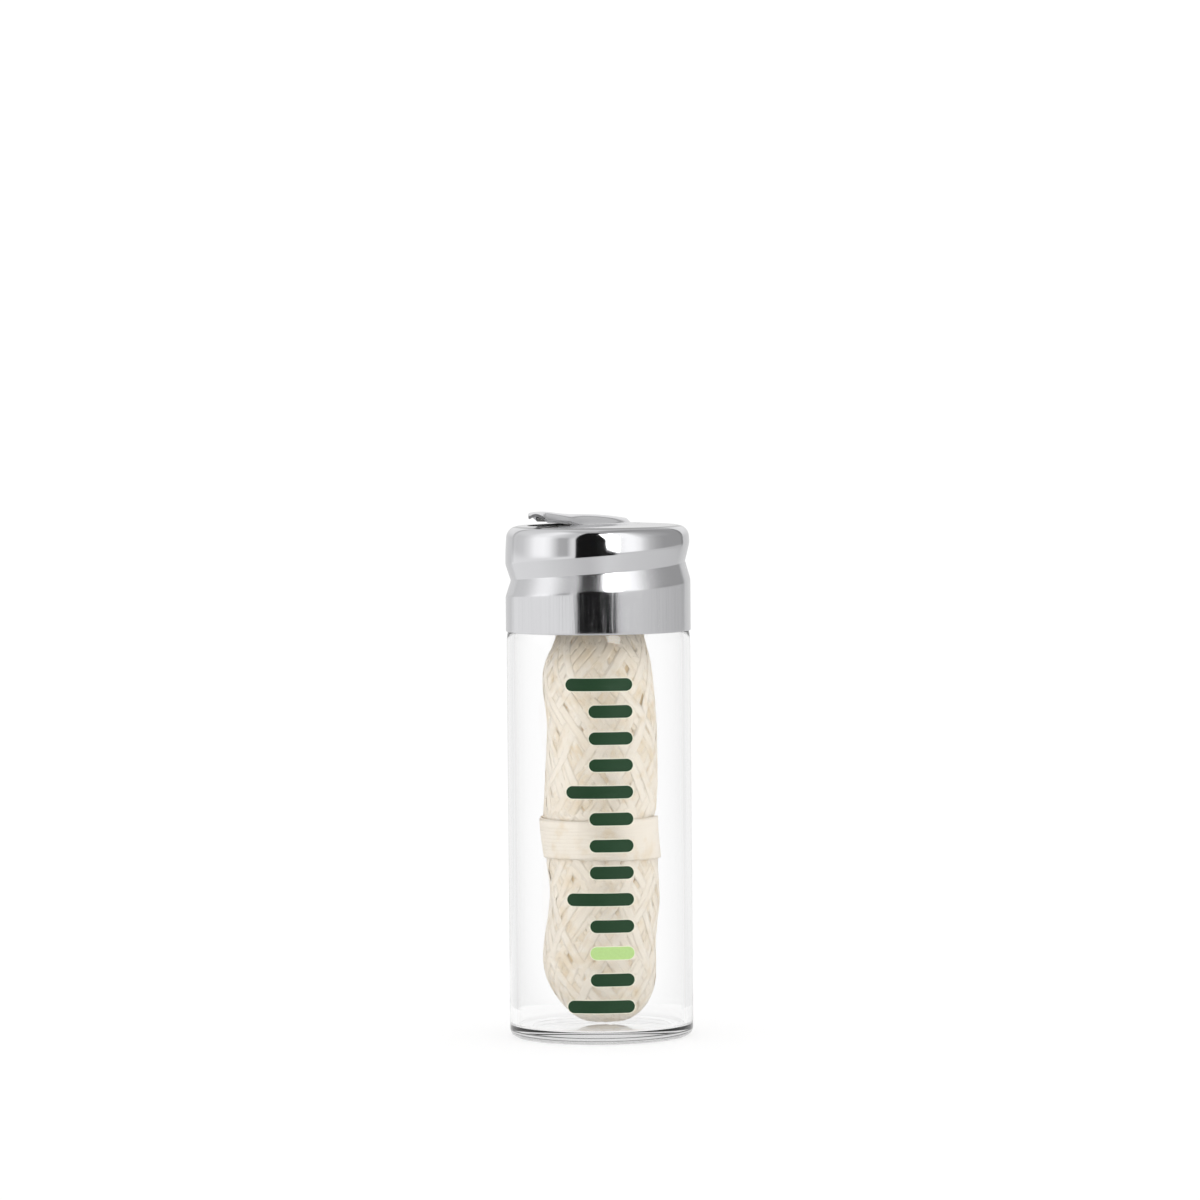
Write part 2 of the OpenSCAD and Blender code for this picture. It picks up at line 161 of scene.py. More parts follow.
class PrintSettings(bpy.types.PropertyGroup):
    mark_long: length("Long mark", "Width of the long marks", 7.9)
    mark_short: length("Short mark", "Width of the short marks", 5.2)
    mark_line: length("Line", "Thickness of a mark's line", 1.5)
    mark_low: length("Lowest mark", "Height of the lowest mark's middle", 4.6)
    mark_high: length("Highest mark", "Height of the highest mark's middle", 42.8)
    ink: length("Ink", "Thickness of the printed ink", 0.05)
    count: whole("Marks", "Number of marks up the glass", 13, 3)
    accent: whole("Accent", "Which mark is light, from 0", 2, 0)
    dark: colour("Dark green", "Colour of the marks", "#173B20")
    light: colour("Light green", "Colour of the accent mark", "#B4D58A")
    underbase: colour("Underbase", "Colour of the white ink under the marks", "#F3F0DC")


class StageSettings(bpy.types.PropertyGroup):
    distance: length("Distance", "How far the camera stands in front of the vial", 747)
    height: length("Height", "Height of the camera", 88.2)
    aim_x: length("Aim", "Where the camera aims, right of the axis", 0.23)
    aim_z: length("Aim height", "Height that the camera aims at", 52.3)
    lens: number("Lens", "Focal length in millimetres", 187.4)
    roll: degrees("Roll", "Turn of the camera about its own axis", -0.49)
    sky: number("Sky", "Brightness of the white backdrop", 1.12)
    table: number("Table", "Brightness of the light table", 0.68)
    floor: colour("Floor", "Colour of the floor", "#999999")


class DispenserSettings(bpy.types.PropertyGroup):
    glass: PointerProperty(type=GlassSettings)
    cap: PointerProperty(type=CapSettings)
    floss: PointerProperty(type=FlossSettings)
    print: PointerProperty(type=PrintSettings)
    stage: PointerProperty(type=StageSettings)


def in_mm(settings):
    """The settings as plain values: lengths in millimetres, angles in degrees."""
    values = {}
    for prop in settings.bl_rna.properties:
        if prop.identifier in ("rna_type", "name"):
            continue
        value = getattr(settings, prop.identifier)
        if getattr(prop, "unit", "") == "LENGTH":
            value = value / MM
        elif getattr(prop, "unit", "") == "ROTATION":
            value = math.degrees(value)
        values[prop.identifier] = tuple(value) if prop.type == "FLOAT" and prop.is_array else value
    return SimpleNamespace(**values)


# Plain curves and grids


def ease(t):
    """u * u * (3 - 2u), with u = t kept between 0 and 1."""
    u = np.clip(t, 0.0, 1.0)
    return u * u * (3.0 - 2.0 * u)


def stacked(*parts):
    """Arrays spread to one shape and set side by side along a last axis."""
    return np.stack(np.broadcast_arrays(*parts), -1)


def polar(r, a, z):
    """(r cos a, r sin a, z), with the angle in radians."""
    return stacked(r * np.cos(a), r * np.sin(a), z)


def arc(centre_r, centre_z, radius, start, stop, steps):
    """Points on a circle from one angle to another, in degrees: centre + radius (cos, sin)."""
    angle = np.radians(np.linspace(start, stop, steps + 1))
    return stacked(centre_r + radius * np.cos(angle), centre_z + radius * np.sin(angle))


def upright(r, start, stop, rows):
    """Points at one radius between two heights, less the two ends."""
    z = np.linspace(start, stop, rows)[1:-1]
    return stacked(r, z)


def grid_quads(index, wrap=False):
    """Quads between the neighbours of a grid of point numbers, round its columns if it wraps."""
    if wrap:
        index = np.concatenate([index, index[:, :1]], axis=1)
    corners = index[:-1, :-1], index[1:, :-1], index[1:, 1:], index[:-1, 1:]
    return stacked(*corners).reshape(-1, 4)


def fan(pole, ring):
    """Triangles from a pole to each side of a closed ring."""
    return stacked(pole, ring, np.roll(ring, -1))


def capped(index):
    """Faces of a closed grid: quads round it, and a fan on each end row from a pole. The two
    poles are numbered next after the grid."""
    poles = [fan(index.size, index[0]), fan(index.size + 1, index[-1][::-1])]
    return [grid_quads(index, wrap=True), np.concatenate(poles)]


def volume(points, faces):
    """Signed volume of a closed mesh: the sum of its corner-fan tetrahedra about the origin."""
    total = 0.0
    for group in faces:
        for k in range(1, group.shape[1] - 1):
            a, b, c = (points[group[:, i]] for i in (0, k, k + 1))
            total += np.einsum("ij,ij->", a, np.cross(b, c)) / 6
    return total


def add_object(label, data):
    """Puts data into the scene as an object at the origin."""
    thing = bpy.data.objects.new(label, data)
    bpy.context.scene.collection.objects.link(thing)
    return thing


def build_piece(
    label, points, faces, material, node, body, weights=None, sharp=None, cut=None
):
    """Puts closed faces into a mesh in metres, turned outward, and rides it on its body. weights are
    values for its points, and the last argument marks the faces of a sheared edge, which the steel makes
    rough and darkens with painted shade."""
    used, faces_flat = np.unique(np.concatenate([g.ravel() for g in faces]), return_inverse=True)
    cuts = np.cumsum([g.size for g in faces])[:-1]
    faces = [f.reshape(-1, g.shape[1]) for f, g in zip(np.split(faces_flat, cuts), faces)]
    points = points[used]
    if volume(points, faces) < 0:
        faces = [g[:, ::-1] for g in faces]
    sizes = np.concatenate([np.full(len(g), g.shape[1]) for g in faces])
    mesh = bpy.data.meshes.new(label)
    mesh.vertices.add(len(points))
    mesh.vertices.foreach_set("co", (points * MM).astype(np.float32).ravel())
    mesh.loops.add(int(sizes.sum()))
    mesh.loops.foreach_set("vertex_index", np.concatenate([g.ravel() for g in faces]))
    mesh.polygons.add(len(sizes))
    mesh.polygons.foreach_set("loop_start", np.concatenate([[0], np.cumsum(sizes)[:-1]]))
    mesh.update(calc_edges=True)
    if mesh.validate():
        raise RuntimeError(label + " has faces that Blender had to mend")
    for name, values in (weights or {}).items():
        attribute = mesh.attributes.new(name, "FLOAT", "POINT")
        attribute.data.foreach_set("value", values[used].astype(np.float32))
    # The sheared edges' mark: rough in the steel, and darkened as painted shade
    if cut is not None:
        mesh.attributes.new("cut", "FLOAT", "FACE").data.foreach_set("value", cut)
    mesh.shade_smooth()
    if sharp:
        mesh.set_sharp_from_angle(angle=math.radians(sharp))
    mesh.materials.append(material)
    piece = add_object(label, mesh)
    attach(piece, body)
    if node:
        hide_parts(node)
    return piece


def turned(profile, columns, bulge):
    """Turns a profile (radius, height) about Z: (r cos a, r sin a, z). Its two ends are poles on
    the axis. bulge adds to the radius at each angle and row."""
    angle = 2 * np.pi * np.arange(columns) / columns
    r, z = profile[1:-1, 0][:, None], profile[1:-1, 1][:, None]
    ring = polar(r + bulge, angle, z)
    ends = [[0, 0, profile[0, 1]], [0, 0, profile[-1, 1]]]
    points = np.concatenate([ring.reshape(-1, 3), ends])
    index = np.arange(ring.shape[0] * columns).reshape(-1, columns)
    return points, capped(index)


# Materials


def add_node(tree, kind, inputs=(), output=0, **settings):
    """Adds a node with its settings, sets or links its inputs by name or number, and returns one
    of its outputs."""
    node = tree.nodes.new(kind)
    for name, value in settings.items():
        setattr(node, name, value)
    for name, value in dict(inputs).items():
        if isinstance(value, bpy.types.NodeSocket):
            tree.links.new(value, node.inputs[name])
        else:
            node.inputs[name].default_value = value
    return node.outputs[output]


def new_material(label):
    """An empty material and its node tree."""
    material = bpy.data.materials.new(label)
    material.use_nodes = True
    material.node_tree.nodes.clear()
    return material, material.node_tree


def finished(material, shader, inside=None):
    """The material, with its shader and what fills it linked to its output."""
    tree = material.node_tree
    end = tree.nodes.new("ShaderNodeOutputMaterial")
    tree.links.new(shader, end.inputs["Surface"])
    if inside:
        tree.links.new(inside, end.inputs["Volume"])
    return material


def clear_glass(tint):
    """Borosilicate tubing, flame worked: clear and glossy, and a little grey where it is looked
    through lengthwise, as at its sides."""
    material, tree = new_material("borosilicate_glass")
    inputs = {
        "Base Color": (1, 1, 1, 1), "Roughness": 0.0, "IOR": 1.47, "Transmission Weight": 1.0,
    }
    shader = add_node(tree, "ShaderNodeBsdfPrincipled", inputs)
    inside = add_node(tree, "ShaderNodeVolumeAbsorption", {"Color": (*tint, 1), "Density": 1 / MM})
    return finished(material, shader, inside)


def stainless_steel(steel):
    """Stainless steel sheet, pressed and rolled. Its skirt keeps an upright grain that draws each
    reflection sideways; the rolled groove and the shoulder above it are bright and smooth. A painted
    dark line, standing in for the reflection of a dark edge, runs round the lid's edge, and the sheared
    edges of the sheet are rough and darkened by painted shade."""
    grain_width, grain_length, smudge, shaded = 0.18, 14.0, 3.0, 0.32
    material, tree = new_material("stainless_steel_pressed")
    where = add_node(tree, "ShaderNodeTexCoord", output="Object")
    skirt, dull, cut, seam = (
        add_node(tree, "ShaderNodeAttribute", output="Fac", attribute_name=name)
        for name in ("grain", "dull", "cut", "seam")
    )
    drawn_up = {"Vector": where, "Scale": (1, 1, grain_width / grain_length)}
    drawn_up = add_node(tree, "ShaderNodeMapping", drawn_up)
    grain = {"Vector": drawn_up, "Scale": 1 / (grain_width * MM), "Detail": 4.0, "Roughness": 0.65}
    grain = add_node(tree, "ShaderNodeTexNoise", grain)
    patches = add_node(tree, "ShaderNodeTexNoise", {"Vector": where, "Scale": 1 / (smudge * MM)})
    depth = add_node(tree, "ShaderNodeMath", {0: dull, 1: 0.5, 2: skirt}, operation="MULTIPLY_ADD")
    relief = add_node(tree, "ShaderNodeMath", {0: grain, 1: depth}, operation="MULTIPLY")

    streak = {"Value": relief, "From Min": 0.52, "From Max": 0.8, "To Min": 0.0, "To Max": 0.25}
    streak = add_node(tree, "ShaderNodeMapRange", streak)
    rough = add_node(tree, "ShaderNodeMapRange", {"Value": skirt, "To Min": 0.05, "To Max": 0.09})
    for part, gain in ((dull, 0.12), (patches, 0.05), (streak, 1.0), (cut, 0.4)):
        rough = add_node(
            tree, "ShaderNodeMath", {0: part, 1: gain, 2: rough}, operation="MULTIPLY_ADD"
        )
    shade = {"Value": relief, "From Min": 0.4, "From Max": 0.65, "To Min": 0.0, "To Max": 0.06}
    shade = add_node(tree, "ShaderNodeMapRange", shade)
    # Painted shade: the painted dark line round the lid and the painted shade of the sheared edges take
    # the steel towards its shaded colour
    for part in (seam, cut):
        shade = add_node(tree, "ShaderNodeMath", {0: shade, 1: part}, operation="MAXIMUM")
    tone = {0: shade, 6: (*steel, 1), 7: (*(shaded * part for part in steel), 1)}
    bump = {"Height": relief, "Strength": 0.5, "Distance": 0.015 * MM}
    inputs = {
        "Base Color": add_node(tree, "ShaderNodeMix", tone, 2, data_type="RGBA"),
        "Metallic": 1.0,
        "Roughness": rough,
        "Normal": add_node(tree, "ShaderNodeBump", bump),
    }
    return finished(material, add_node(tree, "ShaderNodeBsdfPrincipled", inputs))


def printed_ink(label, ink):
    """Screen-printed enamel ink: an even satin film with the faint mottle of the mesh."""
    mesh_pitch = 0.25
    material, tree = new_material(label)
    where = add_node(tree, "ShaderNodeTexCoord", output="Object")
    mottle = add_node(tree, "ShaderNodeTexNoise", {"Vector": where, "Scale": 1 / (mesh_pitch * MM)})
    shade = add_node(tree, "ShaderNodeMapRange", {"Value": mottle, "To Min": 0.9, "To Max": 1.1})
    bump = {"Height": mottle, "Strength": 0.2, "Distance": 0.01 * MM}
    inputs = {
        "Base Color": add_node(tree, "ShaderNodeHueSaturation", {"Color": (*ink, 1), "Value": shade}),
        "Roughness": 0.42,
        "Specular IOR Level": 0.3,
        "Normal": add_node(tree, "ShaderNodeBump", bump),
    }
    return finished(material, add_node(tree, "ShaderNodeBsdfPrincipled", inputs))


def foamed_polyethylene():
    """Liner foam, skived from white polyethylene: matt, with fine closed cells."""
    cell = 0.18
    material, tree = new_material("foamed_polyethylene")
    where = add_node(tree, "ShaderNodeTexCoord", output="Object")
    cells = {"Vector": where, "Scale": 1 / (cell * MM)}
    cells = add_node(tree, "ShaderNodeTexVoronoi", cells, "Distance")
    tone = {0: cells, 6: (*linear("#F2F2EE"), 1), 7: (*linear("#E2E2DC"), 1)}
    bump = {"Height": cells, "Strength": 0.5, "Distance": 0.03 * MM}
    inputs = {
        "Base Color": add_node(tree, "ShaderNodeMix", tone, 2, data_type="RGBA"),
        "Roughness": 0.62,
        "IOR": 1.5,
        "Normal": add_node(tree, "ShaderNodeBump", bump),
    }
    return finished(material, add_node(tree, "ShaderNodeBsdfPrincipled", inputs))


def waxed_floss(pale, tan):
    """Natural silk floss, twisted flat and waxed: soft cream filaments with a low sheen, and warmer tan
    in waxed patches. The tan is also painted shade where the strands lie deep, and towards the top,
    under the cap."""
    filament, wax_patch = 0.09, 2.6
    material, tree = new_material("waxed_silk_floss")
    where = add_node(tree, "ShaderNodeTexCoord", output="Object")
    deep, across, along = (
        add_node(tree, "ShaderNodeAttribute", output="Fac", attribute_name=name)
        for name in ("deep", "across", "along")
    )
    lengthwise = add_node(tree, "ShaderNodeCombineXYZ", {"X": across, "Y": along})
    drawn_out = {"Vector": lengthwise, "Scale": (1 / filament, 0.7, 1)}
    drawn_out = add_node(tree, "ShaderNodeMapping", drawn_out)
    fibres = add_node(tree, "ShaderNodeTexNoise", {"Vector": drawn_out, "Scale": 1.0})
    wax = {"Vector": where, "Scale": 1 / (wax_patch * MM), "Detail": 3.0, "Roughness": 0.6}
    wax = add_node(tree, "ShaderNodeTexNoise", wax)
    waxed = {"Value": wax, "From Min": 0.5, "From Max": 0.72, "To Max": 0.5}
    waxed = add_node(tree, "ShaderNodeMapRange", waxed)
    # Tan from random waxed patches, and from painted shade where strands lie deep or under the cap
    wax_and_shade = add_node(tree, "ShaderNodeMath", {0: waxed, 1: deep}, operation="ADD", use_clamp=True)
    tone = {0: wax_and_shade, 6: (*pale, 1), 7: (*tan, 1)}
    bump = {"Height": fibres, "Strength": 0.3, "Distance": 0.02 * MM}
    inputs = {
        "Base Color": add_node(tree, "ShaderNodeMix", tone, 2, data_type="RGBA"),
        "Roughness": 0.55,
        "IOR": 1.45,
        "Sheen Weight": 0.15,
        "Sheen Roughness": 0.4,
        "Normal": add_node(tree, "ShaderNodeBump", bump),
    }
    return finished(material, add_node(tree, "ShaderNodeBsdfPrincipled", inputs))


# The glass vial


class GlassShape:
    """The vial's profile in millimetres, from its settings and the frame's box."""

    # The radii of its edges, and the shoulder: a slow ease from the side, then a turn to the neck
    rim_edge, floor_edge, punt_edge, neck_fillet = 0.45, 0.3, 1.6, 0.3
    shoulder_drop, shoulder_ease_r = 0.13, 10
    shoulder_wall, bore_edge, ceiling_edge = 0.5, 0.8, 0.2
    # The thread: its start and fade in degrees, its height over the cap's groove and below the rim
    bead_start, bead_fade, bead_rise, bead_below, bead_power = -30, 25, 2.15, 0.62, 1.15

    def __init__(self, settings, cap):
        self.__dict__.update(vars(in_mm(settings)))
        self.glass_r = GLASS_HIGH.x
        self.rim_z = GLASS_HIGH.z
        self.cap = cap

    def bead(self, angle, z):
        """How far the thread stands out: (1 - (2d)^2)^1.15 of its height, with the distance d in
        thread widths from the helix's nearest turn. It fades at the thread's two ends."""
        cap = self.cap
        reached = (z - self.bead_rise - cap.groove_front) * 360 / cap.pitch + 270
        turn = angle + 360 * np.round((reached - angle) / 360)
        away = (z - self.bead_rise - cap.helix_z(turn)) / self.bead_w
        top = self.rim_z - self.rim_edge - self.bead_below * self.bead_w
        stop = 270 + (top - cap.groove_front - self.bead_rise) * 360 / cap.pitch
        fade = ease((turn - self.bead_start) / self.bead_fade) * ease((stop - turn) / self.bead_fade)
        return self.bead_h * fade * np.clip(1 - (2 * away) ** 2, 0, 1) ** self.bead_power

    def outline(self):
        """The closed profile from the middle of the foot, up the outside, over the rim and down
        the inside to the middle of the floor. Also which of its points are on the neck."""
        inner_r, neck_in_r = self.glass_r - self.wall, self.neck_r - self.neck_wall
        foot_r = self.glass_r - self.base_edge
        punt_r = foot_r - self.punt_edge
        punt_ball = (punt_r**2 + self.punt_depth**2) / (2 * self.punt_depth)
        r = np.linspace(0, punt_r, 13)
        punt = stacked(r, np.sqrt(punt_ball**2 - r**2) - punt_ball + self.punt_depth)
        foot = arc(foot_r, self.base_edge, self.base_edge, -90, 0, 16)
        wall = upright(self.glass_r, self.base_edge, self.body_h, 14)
        eased = math.degrees(math.acos(1 - self.shoulder_drop / self.shoulder_ease_r))
        ease_top = self.body_h + self.shoulder_ease_r * math.sin(math.radians(eased))
        turn_r = self.glass_r - self.neck_r - self.shoulder_drop - self.neck_fillet
        turn_x = self.glass_r - self.shoulder_drop - turn_r * math.cos(math.radians(eased))
        turn_z = ease_top - turn_r * math.sin(math.radians(eased))
        shoulder_top = turn_z + turn_r
        neck_z = shoulder_top + self.neck_fillet
        ease_r, fillet, rim_edge = self.shoulder_ease_r, self.neck_fillet, self.rim_edge
        shoulder = np.concatenate(
            [
                arc(self.glass_r - ease_r, self.body_h, ease_r, 0, eased, 5),
                arc(turn_x, turn_z, turn_r, eased, 90, 12)[1:],
                arc(self.neck_r + fillet, neck_z, fillet, 270, 180, 6)[1:],
            ]
        )
        rim_low = self.rim_z - rim_edge
        neck = upright(self.neck_r, neck_z, rim_low, 100)
        rim = np.concatenate(
            [
                arc(self.neck_r - rim_edge, rim_low, rim_edge, 0, 90, 8),
                arc(neck_in_r + rim_edge, rim_low, rim_edge, 90, 180, 8),
            ]
        )
        ceiling = shoulder_top - self.shoulder_wall
        bore_edge, ceiling_edge, floor_edge = self.bore_edge, self.ceiling_edge, self.floor_edge
        bore = upright(neck_in_r, rim_low, ceiling + bore_edge, 8)
        throat = np.concatenate(
            [
                arc(neck_in_r + bore_edge, ceiling + bore_edge, bore_edge, 180, 270, 10),
                arc(inner_r - ceiling_edge, ceiling - ceiling_edge, ceiling_edge, 90, 0, 8),
            ]
        )
        inside = upright(inner_r, ceiling - ceiling_edge, self.floor + floor_edge, 14)
        floor = arc(inner_r - floor_edge, self.floor + floor_edge, floor_edge, 0, -90, 16)
        r = np.linspace(floor[-1, 0], 0, 7)[1:]
        middle = stacked(r, self.floor)
        parts = [punt, foot, wall, shoulder, neck, rim, bore, throat, inside, floor, middle]
        on_neck = np.concatenate([np.full(len(p), p is neck) for p in parts])
        return np.concatenate(parts), on_neck


class FLOSS_OT_make_vial(bpy.types.Operator):
    """Turns the clear glass vial and raises the thread on its neck"""

    bl_idname = "floss.make_vial"
    bl_label = "Glass vial"

    def execute(self, context):
        settings = context.scene.floss_dispenser
        glass = GlassShape(settings.glass, CapShape(settings.cap))
        profile, on_neck = glass.outline()
        columns = 224
        angle = np.degrees(2 * np.pi * np.arange(columns) / columns)
        bead = glass.bead(angle[None, :], profile[1:-1, 1][:, None]) * on_neck[1:-1, None]
        points, faces = turned(profile, columns, bead)
        material = clear_glass(tuple(settings.glass.tint))
        build_piece("vial", points, faces, material, "glass_vial", "vial")
        return {"FINISHED"}


# The printed marks


def stadium(width, line, steps):
    """Outline of a line with round ends, counter-clockwise: two half circles of the line's own
    thickness, joined by straight sides with a point every half millimetre or less."""
    half = np.radians(np.linspace(-90, 90, steps))
    cap = stacked((width - line + line * np.cos(half)) / 2, np.sin(half) * line / 2)
    top = np.linspace(cap[-1], cap[-1] * [-1, 1], math.ceil((width - line) / 0.5) + 1)[1:-1]
    side = np.concatenate([cap, top])
    return np.concatenate([side, -side])


def film(outline, x, z, inner_r, outer_r):
    """A thin closed film on the front of a cylinder. Rings of the outline, drawn in to its middle
    in equal shares, lie at y = -sqrt(r^2 - x^2) on the two radii."""
    shares = np.array([1.0, 0.9, 0.6, 0.3])
    flat = outline[None] * shares[:, None, None] + np.array([x, z])
    sides = []
    for r in (outer_r, inner_r):
        rings = stacked(flat[..., 0], -np.sqrt(r * r - flat[..., 0] ** 2), flat[..., 1])
        sides.append(np.concatenate([rings.reshape(-1, 3), [[x, -math.sqrt(r * r - x * x), z]]]))
    index = np.arange(flat.shape[0] * flat.shape[1]).reshape(flat.shape[:2])
    pole = index.size
    step = pole + 1
    outer = [grid_quads(index, wrap=True), fan(pole, index[-1][::-1])]
    inner = [grid_quads(index, wrap=True)[:, ::-1] + step, fan(pole, index[-1]) + step]
    edge = grid_quads(np.stack([index[0] + step, index[0]]), wrap=True)
    quads = np.concatenate([outer[0], inner[0], edge])
    return np.concatenate(sides), [quads, np.concatenate([outer[1], inner[1]])]


def joined(parts):
    """Several closed meshes as one list of points and one of quads and triangles."""
    points, quads, triangles, first = [], [], [], 0
    for part_points, (part_quads, part_triangles) in parts:
        points.append(part_points)
        quads.append(part_quads + first)
        triangles.append(part_triangles + first)
        first += len(part_points)
    return np.concatenate(points), [np.concatenate(quads), np.concatenate(triangles)]


class FLOSS_OT_make_print(bpy.types.Operator):
    """Prints the row of plain marks up the front of the glass, in ink over a pale underbase"""

    bl_idname = "floss.make_print"
    bl_label = "Printed marks"

    def execute(self, context):
        settings = context.scene.floss_dispenser.print
        marks = in_mm(settings)
        skin, base, between_inks, halo = 0.01, 0.4 * marks.ink, 0.002, 0.09
        glass_r = GLASS_HIGH.x
        inks = {"dark": [], "light": [], "underbase": []}
        for i in range(marks.count):
            width = marks.mark_long if i % LONG_MARK_EVERY == 0 else marks.mark_short
            x = (marks.mark_long - width) / 2
            z = marks.mark_low + (marks.mark_high - marks.mark_low) * i / (marks.count - 1)
            shape = stadium(width, marks.mark_line, 20)
            grown = stadium(width + 2 * halo, marks.mark_line + 2 * halo, 20)
            layer = glass_r + skin + base
            inks["light" if i == marks.accent else "dark"].append(
                film(shape, x, z, layer + between_inks, glass_r + skin + marks.ink)
            )
            inks["underbase"].append(film(grown, x, z, glass_r + skin, layer))
        made = (
            ("marks_dark", "dark", settings.dark, "printed_marks", "dark_green_ink"),
            ("mark_light", "light", settings.light, "printed_accent", "light_green_ink"),
            ("marks_underbase", "underbase", settings.underbase, None, "light_green_ink"),
        )
        for label, key, ink, node, slot in made:
            points, faces = joined(inks[key])
            material = printed_ink("enamel_ink_" + key, tuple(ink))
            build_piece(label, points, faces, material, node, "vial", sharp=40)
        return {"FINISHED"}


# The screw cap


class CapShape:
    """The cap's outer surface in millimetres and degrees, from its settings and the frame. The
    strip of boss and tongue lies along s: the boss's closed end is at s = boss_reach, and the
    tongue's tip at s = -tongue_reach."""

    # The thread groove: where it starts, ends and fades, and how round its creases are
    groove_start, groove_end, groove_fade, crease = 105, 415, 35, 0.06
    # The strip's outline: its round tip and root, and the narrowing between them
    tip_l, root_l, narrow_l, narrowing = 1.6, 2.7, 4.4, 0.2
    # Its crest: the hump's length and place, the roll at the tip and the start of the boss
    hump_l, hump_share, tip_dip, boss_end_l = 2.2, 0.82, 0.33, 0.8
    # The slit beside the tongue, and how its cut edges leave the lid and rise
    slit, slit_root, slit_l = 0.15, -2.4, 0.6
    free_l, edge_l, edge_low, edge_lift, tip_edge = 3.4, 2, 0.2, 0.55, 0.05
    # Directions out of the lid's round edge: by the lid, in the chamfer that carries a painted dark
    # line, and down to the side
    lid_lifts, seam_lift, side_lift = (88, 86, 85), 74, 63
    # The liner's gap to the lid, the hem's radius in sheets, how far above the groove the side
    # starts to lean, and the floss hole's distance from the boss and dip into the lid
    seat_gap, hem_share, lean_above, hole_land, hole_dip = 0.05, 0.3, 1, 0.2, 0.07

    def __init__(self, settings):
        self.__dict__.update(vars(in_mm(settings)))
        self.cap_r = CAP_HIGH.x
        self.skirt_z = CAP_LOW.z
        self.lid_z = LINER_HIGH.z + self.seat_gap + self.sheet
        self.groove_front = self.skirt_z + self.groove_height
        self.shoulder_z = self.lid_z - self.shoulder
        self.lid_flat_r = self.cap_r - self.barrel_lean - self.shoulder
        self.crest_at = self.hump_share * self.tongue_reach
        self.hole_at = self.boss_reach + self.hole_d / 2 + self.hole_land

    def along(self, phi):
        """The strip's s where the lid's column at an angle meets it."""
        middle = (self.boss_reach - self.tongue_reach) / 2
        return middle + (self.boss_reach + self.tongue_reach) / 2 * np.cos(phi)

    def helix_z(self, a):
        """Height of the groove's bottom: it rises by the pitch in each turn."""
        return self.groove_front + self.pitch * (a - 270) / 360

    def groove_angle(self, a):
        """The angle along the groove. Between its ends it slides back to the start."""
        span = self.groove_end - self.groove_start
        back = self.groove_end - span * ease((a - self.groove_end) / (360 - span))
        return np.where(a <= self.groove_end, a, back)

    def flank(self, a, upper):
        """Height of the groove's upper or lower flank, which grows along the groove."""
        spread = 1 + self.flank_spread * (self.groove_angle(a) - 270) / 90
        return np.where(upper, self.flank_upper, self.flank_lower) * spread

    def wall_r(self, a, z):
        """The barrel's radius less the groove: its cut is 1 at its bottom and falls in a straight
        line over each flank, with both creases rounded as (t + sqrt(t^2 + c^2)) / 2."""
        lean_z = self.groove_front + self.lean_above
        t = np.clip((z - lean_z) / (self.shoulder_z - lean_z), 0, None)
        barrel = self.cap_r - self.barrel_lean * t * t
        ends = ease((a - self.groove_start) / self.groove_fade)
        ends = ends * ease((self.groove_end - a) / self.groove_fade)
        h = z - self.helix_z(self.groove_angle(a))
        away = np.sqrt(h * h + self.crease**2) - self.crease
        t = 1 - away / self.flank(a, h > 0)
        return barrel - self.groove_depth * ends * (t + np.sqrt(t * t + self.crease**2)) / 2

    def lid(self, r):
        """Crown of the lid above its edge: a parabola over its flat radius."""
        return self.lid_crown * (1 - (r / self.lid_flat_r) ** 2)

    def tip(self, s):
        """Share of the tongue's round tip, 1 at its end."""
        return np.clip((self.tip_l - self.tongue_reach - s) / self.tip_l, 0, 1)

    def half_w(self, s):
        """Half the width of the boss and tongue: an ellipse round the boss's closed end and
        another round the tip, with a slight narrowing between them."""
        root = np.clip((s - self.boss_reach + self.root_l) / self.root_l, 0, 1)
        narrow = 1 - self.narrowing * ease((self.slit_root - s) / self.narrow_l)
        return self.tongue_w / 2 * narrow * np.sqrt((1 - root * root) * (1 - self.tip(s) ** 2))

    def crest(self, s):
        """Height of the boss and tongue along the middle, above the lid's edge: it climbs from
        the closed end, humps over the tongue and rolls over at the tip."""
        t = np.clip((self.boss_reach - s) / (self.boss_reach - self.slit_root), 0, 1)
        climb = self.boss_end_lift + (self.boss_lift - self.boss_end_lift) * (1 - (1 - t) ** 2)
        hump = np.exp(-(((s + self.crest_at) / self.hump_l) ** 2))
        plain = self.lid(s)
        rise = (climb - plain) * ease((self.boss_reach - s) / self.boss_end_l)
        rolled = self.tip_dip * self.tip(s) ** 10
        return plain + rise + (self.tongue_lift - self.boss_lift) * hump - rolled

    def strip_z(self, s, v):
        """Height over the boss and tongue, with v from -1 to 1 across it. The boss swells out of
        the lid with no crease, as (1 - |v|^2.2)^1.5. The tongue is a fuller arch, 1 - |v|^2.4,
        whose cut edges stand clear of the lid and rise to the crest at the tip."""
        free = ease((self.slit_root + 1 - s) / self.free_l)
        rise = self.edge_low + self.edge_lift * ease(-s / self.tongue_reach)
        low = self.lid(np.hypot(s, self.half_w(s))) + rise * ease((self.slit_root - s) / self.edge_l)
        high = self.crest(s)
        low = low + (high - self.tip_edge - low) * np.sin(np.pi / 2 * self.tip(s))
        arch = (1 - free) * (1 - np.abs(v) ** 2.2) ** 1.5 + free * (1 - np.abs(v) ** 2.4)
        return self.lid_z + low + (high - low) * arch


